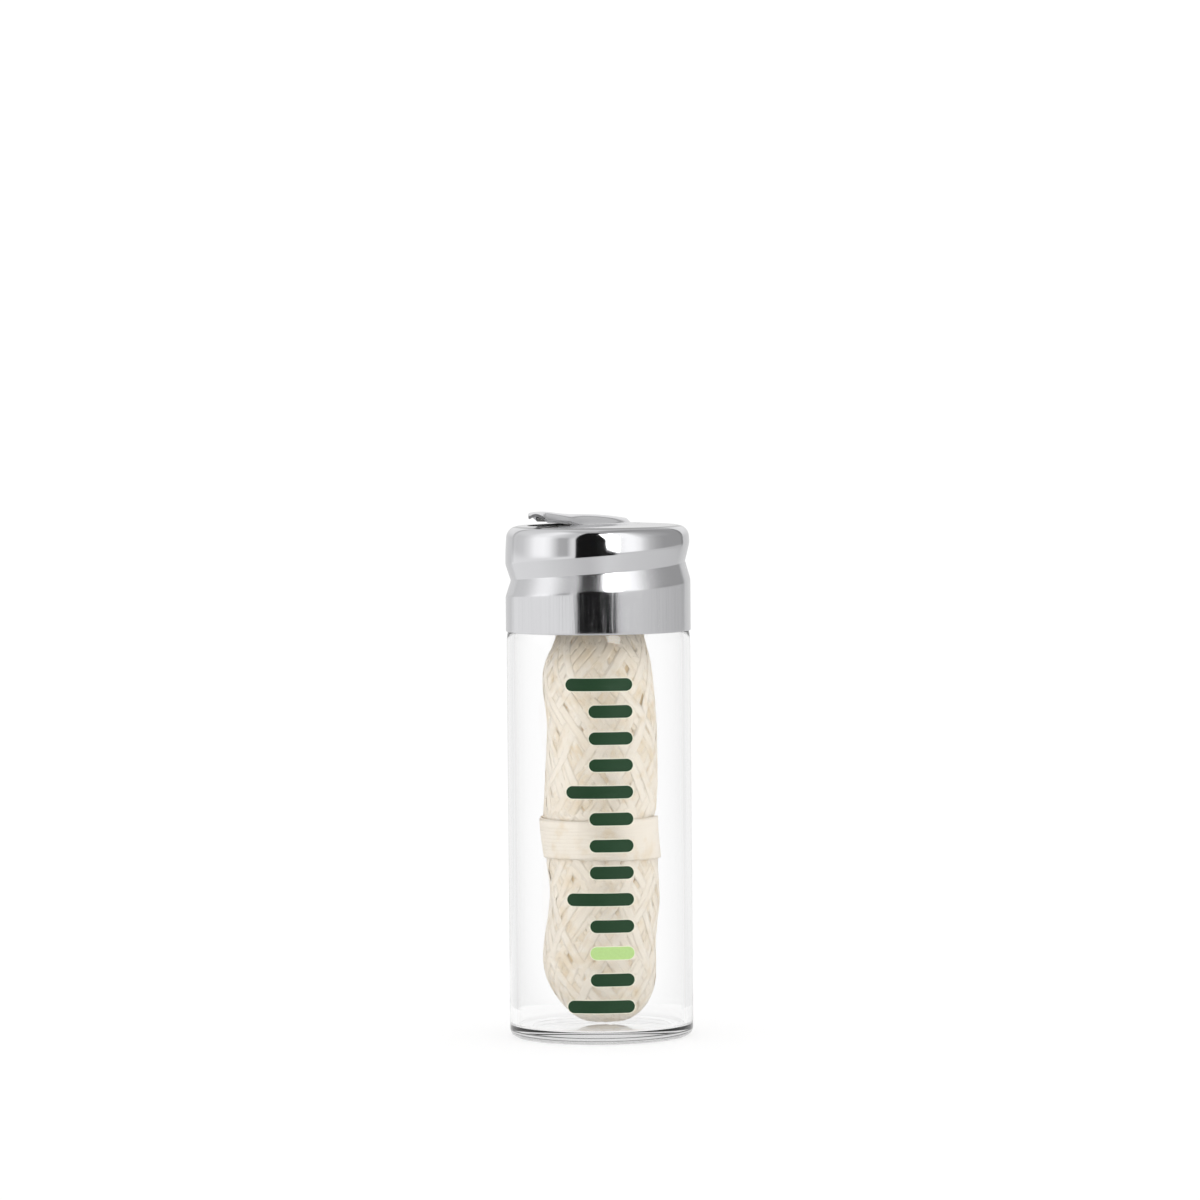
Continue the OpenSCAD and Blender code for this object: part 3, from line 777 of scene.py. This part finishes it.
def around_hole(plan, cap):
    """Draws the lid's points round the floss hole onto its rim. A block of the grid is cut away,
    its outer points go onto the circle, and the next ones follow less and less. Also how far
    each point is from the block's middle, with 1 at its edge, and how much it is drawn."""
    middle, rows, columns, fade = 5, 3, 5, 0.62
    row, column = np.indices(plan.shape[:2])
    half = plan.shape[1] // 2
    side = (column + half) % plan.shape[1] - half
    ring = np.maximum(np.abs(row - middle) / rows, np.abs(side) / columns)
    centre = np.array([cap.hole_at, 0.0])
    reach = plan - centre
    far = np.maximum(np.linalg.norm(reach, axis=-1, keepdims=True), 1e-9)
    pull = (1 - ease((ring - 1) / fade))[..., None]
    return plan + pull * (centre + reach / far * cap.hole_d / 2 - plan), ring, pull[..., 0]


def cap_strip(cap, phi, across):
    """Points over the boss and the tongue, in rows that the lid's columns meet, and their
    numbers. The first row and the last are one point each."""
    half = len(phi) // 2
    s = cap.along(phi[: half + 1])[:, None]
    v = np.sin(np.pi / 2 * np.linspace(-1, 1, across + 1))[None, :]
    strip = stacked(s, v * cap.half_w(s), cap.strip_z(s, v))
    index = np.arange(strip.size // 3).reshape(half + 1, across + 1)
    index[0], index[-1] = index[0, 0], index[-1, 0]
    return strip.reshape(-1, 3), index


def cap_lid(cap, phi):
    """Rows of the lid, from the strip's outline, opened by the slit beside the tongue, to the
    edge of the flat. Also the slit's width at each column, and each point's distance from the
    floss hole."""
    s = cap.along(phi)
    outline = stacked(s, cap.half_w(s) * np.sign(np.round(np.sin(phi), 9)))
    tangent = np.roll(outline, -1, axis=0) - np.roll(outline, 1, axis=0)
    normal = stacked(tangent[:, 1], -tangent[:, 0])
    normal /= np.linalg.norm(normal, axis=1, keepdims=True)
    gap = cap.slit * ease((cap.slit_root - s) / cap.slit_l)
    inner = outline + normal * gap[:, None]
    edge = cap.lid_flat_r * stacked(np.cos(phi), np.sin(phi))
    reach, first = cap.lid_flat_r - cap.boss_reach, cap.hole_at - cap.hole_d / 2 - cap.boss_reach
    shares = np.concatenate(
        [
            np.array([0, 0.5]) * first,
            first + cap.hole_d * np.linspace(0, 1, 7),
            np.linspace(first + cap.hole_d, reach, 11)[1:],
        ]
    ) / reach
    plan, ring, pull = around_hole(inner + (edge - inner) * shares[:, None, None], cap)
    height = cap.lid_z + cap.lid(np.hypot(plan[..., 0], plan[..., 1])) - cap.hole_dip * pull**3
    return np.concatenate([plan, height[..., None]], -1), gap, ring


def cap_side(cap, phi, a):
    """Rows down from the lid's edge: the shoulder, with a chamfer that carries a painted dark line, the
    wall, with rows that follow the groove's creases, and the rounded hem. Also the directions out of the
    sheet, how grained and dull each point is, and where the painted dark line lies."""
    row_gap, grain_soft, groove_soft = 0.02, 0.25, 0.3
    shares = np.array([0.015, 0.035, 0.06, 0.1, 0.17, 0.3, 0.45, 0.6, 0.74, 0.83, 0.88, 0.92, 0.95,
                       0.98, 1.01, 1.04, 1.08, 1.13, 1.2])
    shares = np.concatenate([shares[::-1], [0], -shares])[:, None]
    bottom = cap.helix_z(cap.groove_angle(a))
    rows = bottom + shares * cap.flank(a, shares > 0)
    rows = np.minimum(rows, cap.shoulder_z - row_gap * np.arange(1, len(rows) + 1)[:, None])
    above = cap.shoulder_z + (rows[0] - cap.shoulder_z) * np.linspace(0, 1, 9)[1:-1, None]
    edge_r = cap.hem_share * cap.sheet
    low = cap.skirt_z + edge_r
    under = rows[-1] + (low - rows[-1]) * np.linspace(0, 1, 13)[1:, None]
    z = np.concatenate([above, rows, under])
    wall = stacked(cap.wall_r(a, z), z)

    lift = np.radians(np.concatenate([cap.lid_lifts, np.linspace(cap.side_lift, 0, 12)]))
    shoulder = stacked(np.cos(lift), np.sin(lift)) * cap.shoulder
    shoulder = shoulder + (cap.lid_flat_r, cap.shoulder_z)
    n = len(cap.lid_lifts)
    chamfer = shoulder[n - 1] + (shoulder[n] - shoulder[n - 1]) * np.array([[0.06], [0.94]])
    shoulder = np.concatenate([shoulder[:n], chamfer, shoulder[n:]])
    hem = arc(cap.cap_r - edge_r, low, edge_r, 0, -90, 4)[1:]
    lift = np.concatenate([lift[:n], np.radians([cap.seam_lift] * 2), lift[n:]])
    lift = np.concatenate([lift, np.zeros(len(wall) + len(hem))])[:, None]

    shoulder, hem = (np.repeat(part[:, None], len(phi), axis=1) for part in (shoulder, hem))
    r, z = np.moveaxis(np.concatenate([shoulder, wall, hem]), -1, 0)
    side, out = polar(r, phi, z), polar(np.cos(lift), phi, np.sin(lift))
    grain = ease((bottom - cap.flank(a, False) - z) / grain_soft + 0.5)
    in_groove = ease((bottom + cap.flank(a, True) - z) / groove_soft + 0.5) * (z < cap.shoulder_z)
    # Painted reflection: a dark line on the chamfer's points, where the lid's edge mirrors a dark edge
    seam = (np.abs(np.degrees(lift) - cap.seam_lift) < 1) + 0 * grain
    return side, out, {"grain": grain, "dull": (1 - grain) * in_groove, "seam": seam}


def cap_skin(cap):
    """The cap's outer surface as one sheet: the strip of boss and tongue, the lid round it, and
    the side. Where the boss is pressed out of the lid, the lid starts on the strip's own edge.
    Returns its points, the directions out of the sheet, its faces, how grained and dull each point is,
    and where the painted dark line lies."""
    turns, across, strip_dull = 288, 24, 0.4
    half = turns // 2
    phi = 2 * np.pi * np.arange(turns) / turns
    a = (np.degrees(phi) + cap.tongue_turn - cap.groove_start) % 360 + cap.groove_start
    strip, strip_index = cap_strip(cap, phi, across)
    lid, gap, ring = cap_lid(cap, phi)
    side, out, weights = cap_side(cap, phi, a)

    points = np.concatenate([strip, lid.reshape(-1, 3), side.reshape(-1, 3)])
    index = np.arange(len(strip), len(points)).reshape(-1, turns)
    column = np.arange(turns)
    beside = np.where(
        column <= half,
        strip_index[np.minimum(column, half), across],
        strip_index[np.minimum(turns - column, half), 0],
    )
    index[0] = np.where(gap > 0, index[0], beside)
    flat = len(strip) + lid.size // 3
    out = np.concatenate([np.broadcast_to([0.0, 0.0, 1.0], (flat, 3)), out.reshape(-1, 3)])
    for name, weight in weights.items():
        weights[name] = np.concatenate([np.zeros(flat), weight.ravel()])
    weights["dull"][: len(strip)] = strip_dull

    cell = np.maximum(ring[1:], ring[:-1])
    cell = np.maximum(cell, np.roll(cell, -1, axis=1)).ravel() <= 1.0001
    quads = grid_quads(index, wrap=True)
    keep = np.ones(len(quads), bool)
    keep[: len(cell)] = ~cell
    ends = [
        stacked(pole[0], row[1:], row[:-1])
        for pole, row in ((strip_index[0], strip_index[1]), (strip_index[-1], strip_index[-2, ::-1]))
    ]
    quads = np.concatenate([quads[keep], grid_quads(strip_index[1:-1, ::-1])])
    turn = math.radians(cap.tongue_turn)
    spin = np.array(
        [[math.cos(turn), -math.sin(turn), 0], [math.sin(turn), math.cos(turn), 0], [0, 0, 1]]
    )
    return points @ spin.T, out @ spin.T, [quads, np.concatenate(ends)], weights


def thickened(points, out, faces, sheet):
    """A closed sheet: the same faces again, turned over and set in by the sheet's thickness, and a quad
    along each edge that only one face uses. Also a mark on those quads, the sheared edges, which the
    steel makes rough and darkens with painted shade."""
    count = len(points)
    pairs = np.concatenate(
        [stacked(g, np.roll(g, -1, axis=1)).reshape(-1, 2) for g in faces]
    ).astype(np.int64)
    pairs = pairs[pairs[:, 0] != pairs[:, 1]]
    forward = pairs[:, 0] * count + pairs[:, 1]
    backward = pairs[:, 1] * count + pairs[:, 0]
    a, b = pairs[~np.isin(forward, backward)].T
    rim = stacked(b, a, a + count, b + count)
    doubled = [np.concatenate([g, g[:, ::-1] + count]) for g in faces]
    cut = np.concatenate([np.zeros(len(doubled[0])), np.ones(len(rim)), np.zeros(len(doubled[1]))])
    doubled[0] = np.concatenate([doubled[0], rim])
    return np.concatenate([points, points - sheet * out]), doubled, cut.astype(np.float32)


class FLOSS_OT_make_cap(bpy.types.Operator):
    """Presses the steel screw cap: thread groove, lid, boss, cutter tongue and floss hole"""

    bl_idname = "floss.make_cap"
    bl_label = "Screw cap"

    def execute(self, context):
        settings = context.scene.floss_dispenser.cap
        cap = CapShape(settings)
        points, out, faces, weights = cap_skin(cap)
        points, faces, cut = thickened(points, out, faces, cap.sheet)
        weights = {name: np.tile(weight, 2) for name, weight in weights.items()}
        material = stainless_steel(settings.steel)
        build_piece(
            "cap", points, faces, material, "screw_cap", "cap", weights, 38, cut
        )
        return {"FINISHED"}


class FLOSS_OT_finish_liner(bpy.types.Operator):
    """Gives the sealing liner its foam"""

    bl_idname = "floss.finish_liner"
    bl_label = "Sealing liner"

    def execute(self, context):
        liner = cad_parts["cap_liner"]
        liner.data.materials.clear()
        liner.data.materials.append(foamed_polyethylene())
        return {"FINISHED"}


# The floss bundle


class BundleShape:
    """The bundle's surface in millimetres. It leans from side to side and is a little lumpy,
    because it is wound by hand; heights are above its foot, and angles are in degrees."""

    end_l, end_power = 8, 1 / 2.6
    # Its sway to the right and to the back: the middle, how far, and from what height how long
    middle_x, sway_x, start_x, wave_x = 0.15, 0.3, 33, 16.2
    sway_y, start_y, wave_y = 0.25, 9, 21
    # Its lumps: height, waves round, degrees for each millimetre up, and start
    waves = ((0.1, 2, 17, 0), (0.09, 3, -26, 50), (0.07, 5, 31, 0))
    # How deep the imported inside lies, the first strands lie and the waist presses them
    inside_depth, early_depth, squeeze = 0.22, 0.12, 0.12

    def __init__(self, settings):
        self.__dict__.update(vars(in_mm(settings)))

    def band(self, h):
        """How far the band of turns round the waist stands proud."""
        return self.waist_proud * ease((self.waist_half + 0.5 - np.abs(h - self.waist_height)) / 0.6)

    def lump(self, a, h):
        """Slow waves round and along the bundle, each the sine of an angle that grows with a and
        h. None at its ends and its waist."""
        near_end = ease(np.minimum(h, self.bundle_h - h) / 6)
        near_waist = ease((self.waist_half + 1.5 - np.abs(h - self.waist_height)) / 1.2)
        waves = sum(
            size * np.sin(np.radians(round_it * a + up_it * h + start))
            for size, round_it, up_it, start in self.waves
        )
        return near_end * (1 - near_waist) * waves

    def point(self, a, h, outward):
        """A point at an angle and height, moved outward from the surface. The surface's radius
        is R (1 - (1 - t)^2)^(1/2.6), with t the share of the rounded end's length."""
        t = np.minimum(1, np.clip(np.minimum(h, self.bundle_h - h), 0, None) / self.end_l)
        r = self.bundle_r * (1 - (1 - t) ** 2) ** self.end_power + self.lump(a, h) + outward
        r = np.maximum(r, 0.05)
        x = self.middle_x + self.sway_x * np.cos(2 * np.pi * (h - self.start_x) / self.wave_x)
        y = self.sway_y * np.sin(2 * np.pi * (h - self.start_y) / self.wave_y)
        x, y = x + r * np.cos(np.radians(a)), y + r * np.sin(np.radians(a))
        return stacked(x, y, self.foot + h)

    def normal(self, a, h):
        """Direction out of the surface: the cross product of its slopes round and along it."""
        round_it = self.point(a + 0.5, h, 0) - self.point(a - 0.5, h, 0)
        low, high = np.clip(h - 0.05, 0.01, None), np.clip(h + 0.05, None, self.bundle_h - 0.01)
        out = np.cross(round_it, self.point(a, high, 0) - self.point(a, low, 0))
        return out / np.linalg.norm(out, axis=-1, keepdims=True)


def zigzag(t):
    """A wave between -1 and 1 that runs straight from end to end and turns round softly."""
    soft = 0.985
    return np.arcsin(soft * np.sin(np.pi * (t - 0.5))) / math.asin(soft)


RIBBON_SIDES = 8


def ribbon(bundle, a, h, outward):
    """A flattened thread along a path on the bundle. Its section is an ellipse, wide along the
    surface and thin out of it; each end is closed by a point. Also how far along it each point
    is, and how far round its section."""
    path = bundle.point(a, h, outward)
    out = bundle.normal(a, h)
    along = np.gradient(path, axis=0)
    along /= np.linalg.norm(along, axis=1, keepdims=True)
    side = np.cross(out, along)
    side /= np.linalg.norm(side, axis=1, keepdims=True)
    out = np.cross(along, side)
    sides, width, thickness = RIBBON_SIDES, bundle.strand_w, bundle.strand_t
    turn = 2 * np.pi * (np.arange(sides) + 0.5) / sides - np.pi / 2
    rings = (
        path[:, None]
        + side[:, None] * np.cos(turn)[:, None] * width / 2
        + out[:, None] * np.sin(turn)[:, None] * thickness / 2
    )
    faces = capped(np.arange(rings.size // 3).reshape(-1, sides))
    points = np.concatenate([rings.reshape(-1, 3), path[:1], path[-1:]])
    run = np.concatenate([[0], np.cumsum(np.linalg.norm(np.diff(path, axis=0), axis=1))])
    across = np.cos(turn) * width / 2
    run = np.concatenate([np.repeat(run, sides), run[:1], run[-1:]])
    across = np.concatenate([np.tile(across, len(path)), [0, 0]])
    return points, faces, run, across


class FLOSS_OT_make_floss(bpy.types.Operator):
    """Winds the bundle: its packed inside, the crossing strands and the band round the waist"""

    bl_idname = "floss.make_floss"
    bl_label = "Floss bundle"

    def execute(self, context):
        settings = context.scene.floss_dispenser.floss
        bundle = BundleShape(settings)
        material = waxed_floss(tuple(settings.pale), tuple(settings.tan))
        for wind in (self.pack_inside, self.wind_strands, self.wind_waist):
            wind(bundle, material)
        return {"FINISHED"}

    def pack_inside(self, bundle, material):
        """The inner layers, a plain body under the strands, all in tan as painted shade that shows
        between them.
        """
        columns, rows, to_axis = 128, 120, -99.0
        a = 360 * np.arange(columns) / columns
        h = bundle.bundle_h / 2 * (1 - np.cos(np.pi * np.linspace(0.06, 0.94, rows)))
        points = bundle.point(a[None, :], h[:, None], -bundle.inside_depth)
        ends = bundle.point(np.zeros(2), h[[0, -1]], to_axis)
        faces = capped(np.arange(rows * columns).reshape(rows, columns))
        points = np.concatenate([points.reshape(-1, 3), ends])
        # Painted shade: the whole inside is tan, as shade between the strands
        weights = {"deep": np.ones(len(points)), "across": points[:, 0], "along": points[:, 2]}
        build_piece(
            "floss_inside", points, faces, material, "floss_core", "floss", weights
        )

    def wind_strands(self, bundle, material):
        """One thread that runs from end to end and back, a little over four fifths of a turn each way,
        so that its passes cross and fill the round evenly. Later passes lie on earlier ones. The
        earlier, deeper passes and the strands near the top are tan, as painted shade between the strands
        and a painted shadow under the cap."""
        pass_turns, rings, end_gap = 0.809, 60, 0.45
        draw = np.random.default_rng(11)
        t = np.linspace(0, bundle.passes, bundle.passes * rings + 1)
        h = bundle.bundle_h / 2 + (bundle.bundle_h / 2 - end_gap) * zigzag(t)
        wander = sum(
            size * np.sin(2 * np.pi * (rate * t + draw.random()))
            for size, rate in ((9, 0.23), (7, 0.61), (4, 1.37), (1.2, 5.3))
        )
        a = 360 * pass_turns * t + wander
        early = 1 - t / bundle.passes
        ripple = 0.03 * np.sin(2 * np.pi * (4.7 * t + draw.random()))
        squeezed = bundle.squeeze * bundle.band(h) / bundle.waist_proud
        outward = -bundle.strand_t / 2 - bundle.early_depth * early + ripple - squeezed
        points, faces, run, across = ribbon(bundle, a, h, outward)
        ring = np.concatenate([np.repeat(early, RIBBON_SIDES), early[:1], early[-1:]])
        top = points[:, 2] - bundle.foot - bundle.bundle_h
        # Painted shade: tan on the earlier passes, which lie deeper between the strands, and tan towards
        # the top, as a painted shadow under the cap
        deep = 0.55 * ring**1.5 + 0.35 * ease(1 + top / 7)
        weights = {"deep": deep, "across": across, "along": run}
        build_piece(
            "floss_strands", points, faces, material, "floss_winding", "floss", weights
        )

    def wind_waist(self, bundle, material):
        """The last turns of the thread, level round the waist in three layers."""
        loops, layers, rings = 9, 3, 56
        edge_gap, slant, layer = 0.1, 0.12, 0.07
        t = np.linspace(0, layers, loops * layers * rings + 1)
        h = bundle.waist_height + (bundle.waist_half - edge_gap) * zigzag(t)
        a = 360 * loops * t
        lean = slant * np.cos(np.radians(a)) * np.where(t % 2 < 1, 1, -1)
        outward = bundle.band(h) - bundle.strand_t / 2 - layer * (layers - t)
        points, faces, run, across = ribbon(bundle, a, h + lean, outward)
        weights = {"deep": np.zeros(len(points)), "across": across, "along": run}
        build_piece("floss_waist", points, faces, material, None, "floss", weights)


# The stage


def window(x, low, high, soft):
    """1 between two edges and 0 outside them, with each edge eased over a soft width."""
    return ease((x - low) / soft + 0.5) * ease((high - x) / soft + 0.5)


# How bright the studio is by azimuth, in degrees, as seen through the glass
THROUGH_GLOW = (
    (-180, 1.05), (-168, 1.02), (-155, 0.92), (-138, 0.85), (-120, 0.76), (-100, 0.9), (-90, 0.93),
    (0, 1.0), (100, 0.96), (120, 0.9), (138, 0.92), (155, 0.96), (168, 1.03), (180, 1.05),
)

# How bright the studio is by azimuth, in degrees, at five heights
FLOOR_GLOW = (
    (-180, 0.87), (-134, 1.0), (-80, 1.0), (-40, 0.85), (-9, 0.73), (15, 0.95), (40, 0.87),
    (134, 0.73), (180, 0.87),
)
LOW_GLOW = ((-48, 1.06), (-30, 1.0), (25, 0.8), (50, 0.84), (80, 0.76), (100, 0.7), (134, 0.62))
MIDDLE_GLOW = (
    (-134, 0.85), (-120, 0.8), (-106, 0.86), (-95, 1.06), (-84, 1.38), (-70, 1.45), (-62, 1.3),
    (-55, 0.95), (-48, 0.6), (-38, 0.56), (-32, 1.0), (-25, 1.05), (28, 1.3), (36, 1.5), (45, 1.5),
    (54, 1.3), (60, 0.98), (68, 0.72), (78, 0.56), (90, 0.46), (134, 0.42),
)
HIGH_GLOW = (
    (-180, 0.8), (-134, 0.9), (-106, 0.98), (-88, 1.25), (-70, 1.3), (-55, 1.0), (-41, 0.8), (-26, 0.85),
    (4, 1.2), (10, 1.5), (48, 1.5), (58, 1.05), (68, 0.8), (84, 0.58), (115, 0.45), (134, 0.43),
    (180, 0.8),
)
TOP_GLOW = ((-180, 0.8), (-134, 0.75), (-60, 0.62), (40, 0.56), (60, 0.45), (134, 0.42), (180, 0.8))
# The elevations between which each of them takes over from the one below
GLOW_LEVELS = ((-14, -11, LOW_GLOW), (-1.5, 1.5, MIDDLE_GLOW), (14, 34, HIGH_GLOW), (62, 76, TOP_GLOW))


def studio_glow(azimuth, elevation):
    """How bright the studio is in each direction, as steel and glass mirror it. Azimuth 0 is
    behind the camera and 90 is to the right. Softboxes stand to the left and the right, a window
    is open beside the dark camera side, and a dark edge runs round the white backdrop."""
    glow = np.interp(azimuth, *zip(*FLOOR_GLOW)) + 0 * elevation
    for start, stop, level in GLOW_LEVELS:
        reached = ease((elevation - start) / (stop - start))
        glow = glow + (np.interp(azimuth, *zip(*level)) - glow) * reached

    # The dark camera side, between the floor and the ceiling
    dark_left, dark_right, dark_foot, dark_top = -27, 23, -14, 68
    dark = ease((azimuth - dark_left) / 1.6 + 0.5) * ease((dark_right - azimuth) / 8 + 0.5)
    dark = dark * ease((elevation - dark_foot) / 3) * (1 - ease((elevation - dark_top) / 12))
    glow = glow * (1 - 0.99 * dark)

    # The window, whose left side and sill slope
    window_right, window_top, window_glow = 27, 62, 7.0
    left = 2.5 + 8.5 * (65 - elevation) / 60
    sill = 5.1 - 0.2 * (azimuth - 11)
    lamp = window(azimuth, left, window_right, 2) * window(elevation, sill, window_top, 2)
    glow = glow + lamp * (window_glow - glow)

    # The backdrop and its dark edge, by the angle from straight behind the object
    backdrop_half, edge_width = 46, 6
    a, e = np.radians(azimuth), np.radians(elevation)
    right, back, up = np.cos(e) * np.sin(a), -np.cos(e) * np.cos(a), np.sin(e) + 0 * a
    upright_share = up**2 / (right**2 + up**2 + 1e-9)
    away = np.degrees(np.arccos(np.clip(back, -1, 1))) - (backdrop_half - 8 * upright_share)
    edge = window(away, 0, edge_width, 2) * (0.15 + 0.25 * upright_share) * ease((elevation + 8) / 6)
    backdrop = 0.79 + 0.22 * ease((elevation - 2) / 18)
    return np.where(away < 0, backdrop, glow * (1 - edge))


class FLOSS_OT_make_stage(bpy.types.Operator):
    """Sets the camera, the white surroundings, the floor and the studio that the metal mirrors"""

    bl_idname = "floss.make_stage"
    bl_label = "Studio stage"

    def execute(self, context):
        settings = context.scene.floss_dispenser.stage
        self.place_camera(context.scene, settings)
        self.light_sky(context.scene, settings)
        self.lay_floor(settings)
        self.hang_studio()
        context.scene.view_settings.view_transform = "Standard"
        context.scene.cycles.max_bounces = 32
        context.scene.cycles.transmission_bounces = 32
        context.scene.cycles.glossy_bounces = 16
        return {"FINISHED"}

    def place_camera(self, scene, settings):
        camera = bpy.data.cameras.new("camera")
        camera.lens = settings.lens
        camera.clip_end = 20
        stand = add_object("camera", camera)
        stand.location = (0, -settings.distance, settings.height)
        aim = Vector((settings.aim_x, 0, settings.aim_z)) - stand.location
        stand.rotation_mode = "QUATERNION"
        stand.rotation_quaternion = aim.to_track_quat("-Z", "Y") @ Quaternion((0, 0, 1), settings.roll)
        scene.camera = stand

    def light_sky(self, scene, settings):
        sky = bpy.data.worlds.new("white_studio")
        sky.use_nodes = True
        background = sky.node_tree.nodes["Background"]
        background.inputs["Color"].default_value = (1, 1, 1, 1)
        background.inputs["Strength"].default_value = settings.sky
        scene.world = sky

    def lay_floor(self, settings):
        """A square light table, larger than any view of the object. It glows through its matt
        white card, so that the object's shadow on it is faint."""
        half = 3.0
        mesh = bpy.data.meshes.new("floor")
        mesh.from_pydata(
            [(-half, -half, 0), (half, -half, 0), (half, half, 0), (-half, half, 0)], [], [(0, 1, 2, 3)]
        )
        material, tree = new_material("matt_white_card")
        inputs = {
            "Base Color": (*settings.floor, 1),
            "Roughness": 0.9,
            "Specular IOR Level": 0.0,
            "Emission Color": (1, 1, 1, 1),
            "Emission Strength": settings.table,
        }
        mesh.materials.append(finished(material, add_node(tree, "ShaderNodeBsdfPrincipled", inputs)))
        material.cycles.emission_sampling = "NONE"
        floor = add_object("floor", mesh)

    def hang_studio(self):
        """Two painted shells that the camera doesn't see: the walls with the floor's sheen, for
        mirrored and refracted rays, and the hem under the object, for mirrored rays. Each point
        lies where its direction from the cap meets the shell. It has two brightnesses, one for
        rays that a surface mirrors and one for rays that come through glass."""
        radius, middle = 0.24, 0.055
        azimuth = np.linspace(-180, 180, 721)[:-1]
        bands = {
            "studio_walls": np.concatenate([np.linspace(-62, 30, 185)[:-1], np.linspace(30, 89.9, 121)]),
            "studio_hem": np.linspace(-75, -62, 14),
        }
        for label, elevation in bands.items():
            elevation = elevation[:, None]
            a, e = np.radians(azimuth), np.radians(elevation)
            reach = np.minimum(radius, (middle - 0.0005) / np.maximum(-np.sin(e), 1e-9))
            across, up = reach * np.cos(e), middle + reach * np.sin(e)
            points = stacked(across * np.sin(a), -across * np.cos(a), up)
            index = np.arange(points.size // 3).reshape(len(elevation), -1)
            mesh = bpy.data.meshes.new(label)
            mesh.from_pydata(
                points.reshape(-1, 3).tolist(), [], grid_quads(index, wrap=True).tolist()
            )
            paints = {
                "mirrored": studio_glow(azimuth[None, :], elevation),
                "through": np.interp(azimuth, *zip(*THROUGH_GLOW)) + 0 * elevation,
            }
            for name, paint in paints.items():
                attribute = mesh.attributes.new(name, "FLOAT", "POINT")
                attribute.data.foreach_set("value", paint.astype(np.float32).ravel())
            mesh.materials.append(self.painted_light())
            shell = add_object(label, mesh)
            for ray in ("camera", "diffuse", "volume_scatter", "shadow"):
                setattr(shell, "visible_" + ray, False)
            shell.visible_transmission = label == "studio_walls"

    def painted_light(self):
        """Light from the shell's painted brightnesses, and more of it on what lies behind glass."""
        material, tree = new_material("painted_light")
        mirrored, through = (
            add_node(tree, "ShaderNodeAttribute", output="Fac", attribute_name=name)
            for name in ("mirrored", "through")
        )
        came_through, bounced = (
            add_node(tree, "ShaderNodeLightPath", output=name)
            for name in ("Is Transmission Ray", "Diffuse Depth")
        )
        glow = {"Value": came_through, "To Min": mirrored, "To Max": through}
        glow = add_node(tree, "ShaderNodeMapRange", glow)
        gain = add_node(tree, "ShaderNodeMapRange", {"Value": bounced, "To Min": 1.0, "To Max": 1.8})
        strength = add_node(tree, "ShaderNodeMath", {0: glow, 1: gain}, operation="MULTIPLY")
        inputs = {"Color": (1, 1, 1, 1), "Strength": strength}
        material.cycles.emission_sampling = "NONE"
        return finished(material, add_node(tree, "ShaderNodeEmission", inputs))


class FLOSS_PT_pieces(bpy.types.Panel):
    """Lists the pieces and the stage"""

    bl_label = "Floss dispenser"
    bl_idname = "FLOSS_PT_pieces"
    bl_space_type = "VIEW_3D"
    bl_region_type = "UI"
    bl_category = "Floss"

    def draw(self, context):
        settings = context.scene.floss_dispenser
        for operator in OPERATORS:
            self.layout.operator(operator.bl_idname)
        for group in (settings.glass, settings.cap, settings.floss, settings.print, settings.stage):
            box = self.layout.box()
            for prop in group.bl_rna.properties:
                if prop.identifier not in ("rna_type", "name"):
                    box.prop(group, prop.identifier)


GROUPS = (GlassSettings, CapSettings, FlossSettings, PrintSettings, StageSettings, DispenserSettings)
OPERATORS = (
    FLOSS_OT_make_vial,
    FLOSS_OT_make_print,
    FLOSS_OT_make_cap,
    FLOSS_OT_finish_liner,
    FLOSS_OT_make_floss,
    FLOSS_OT_make_stage,
)


def register():
    for cls in (*GROUPS, *OPERATORS, FLOSS_PT_pieces):
        bpy.utils.register_class(cls)
    bpy.types.Scene.floss_dispenser = PointerProperty(type=DispenserSettings)


def unregister():
    del bpy.types.Scene.floss_dispenser
    for cls in (FLOSS_PT_pieces, *reversed(OPERATORS), *reversed(GROUPS)):
        bpy.utils.unregister_class(cls)


def main():
    register()
    bpy.ops.floss.make_stage()
    bpy.ops.floss.make_vial()
    bpy.ops.floss.make_print()
    bpy.ops.floss.make_cap()
    bpy.ops.floss.finish_liner()
    bpy.ops.floss.make_floss()


if __name__ == "__main__":
    main()
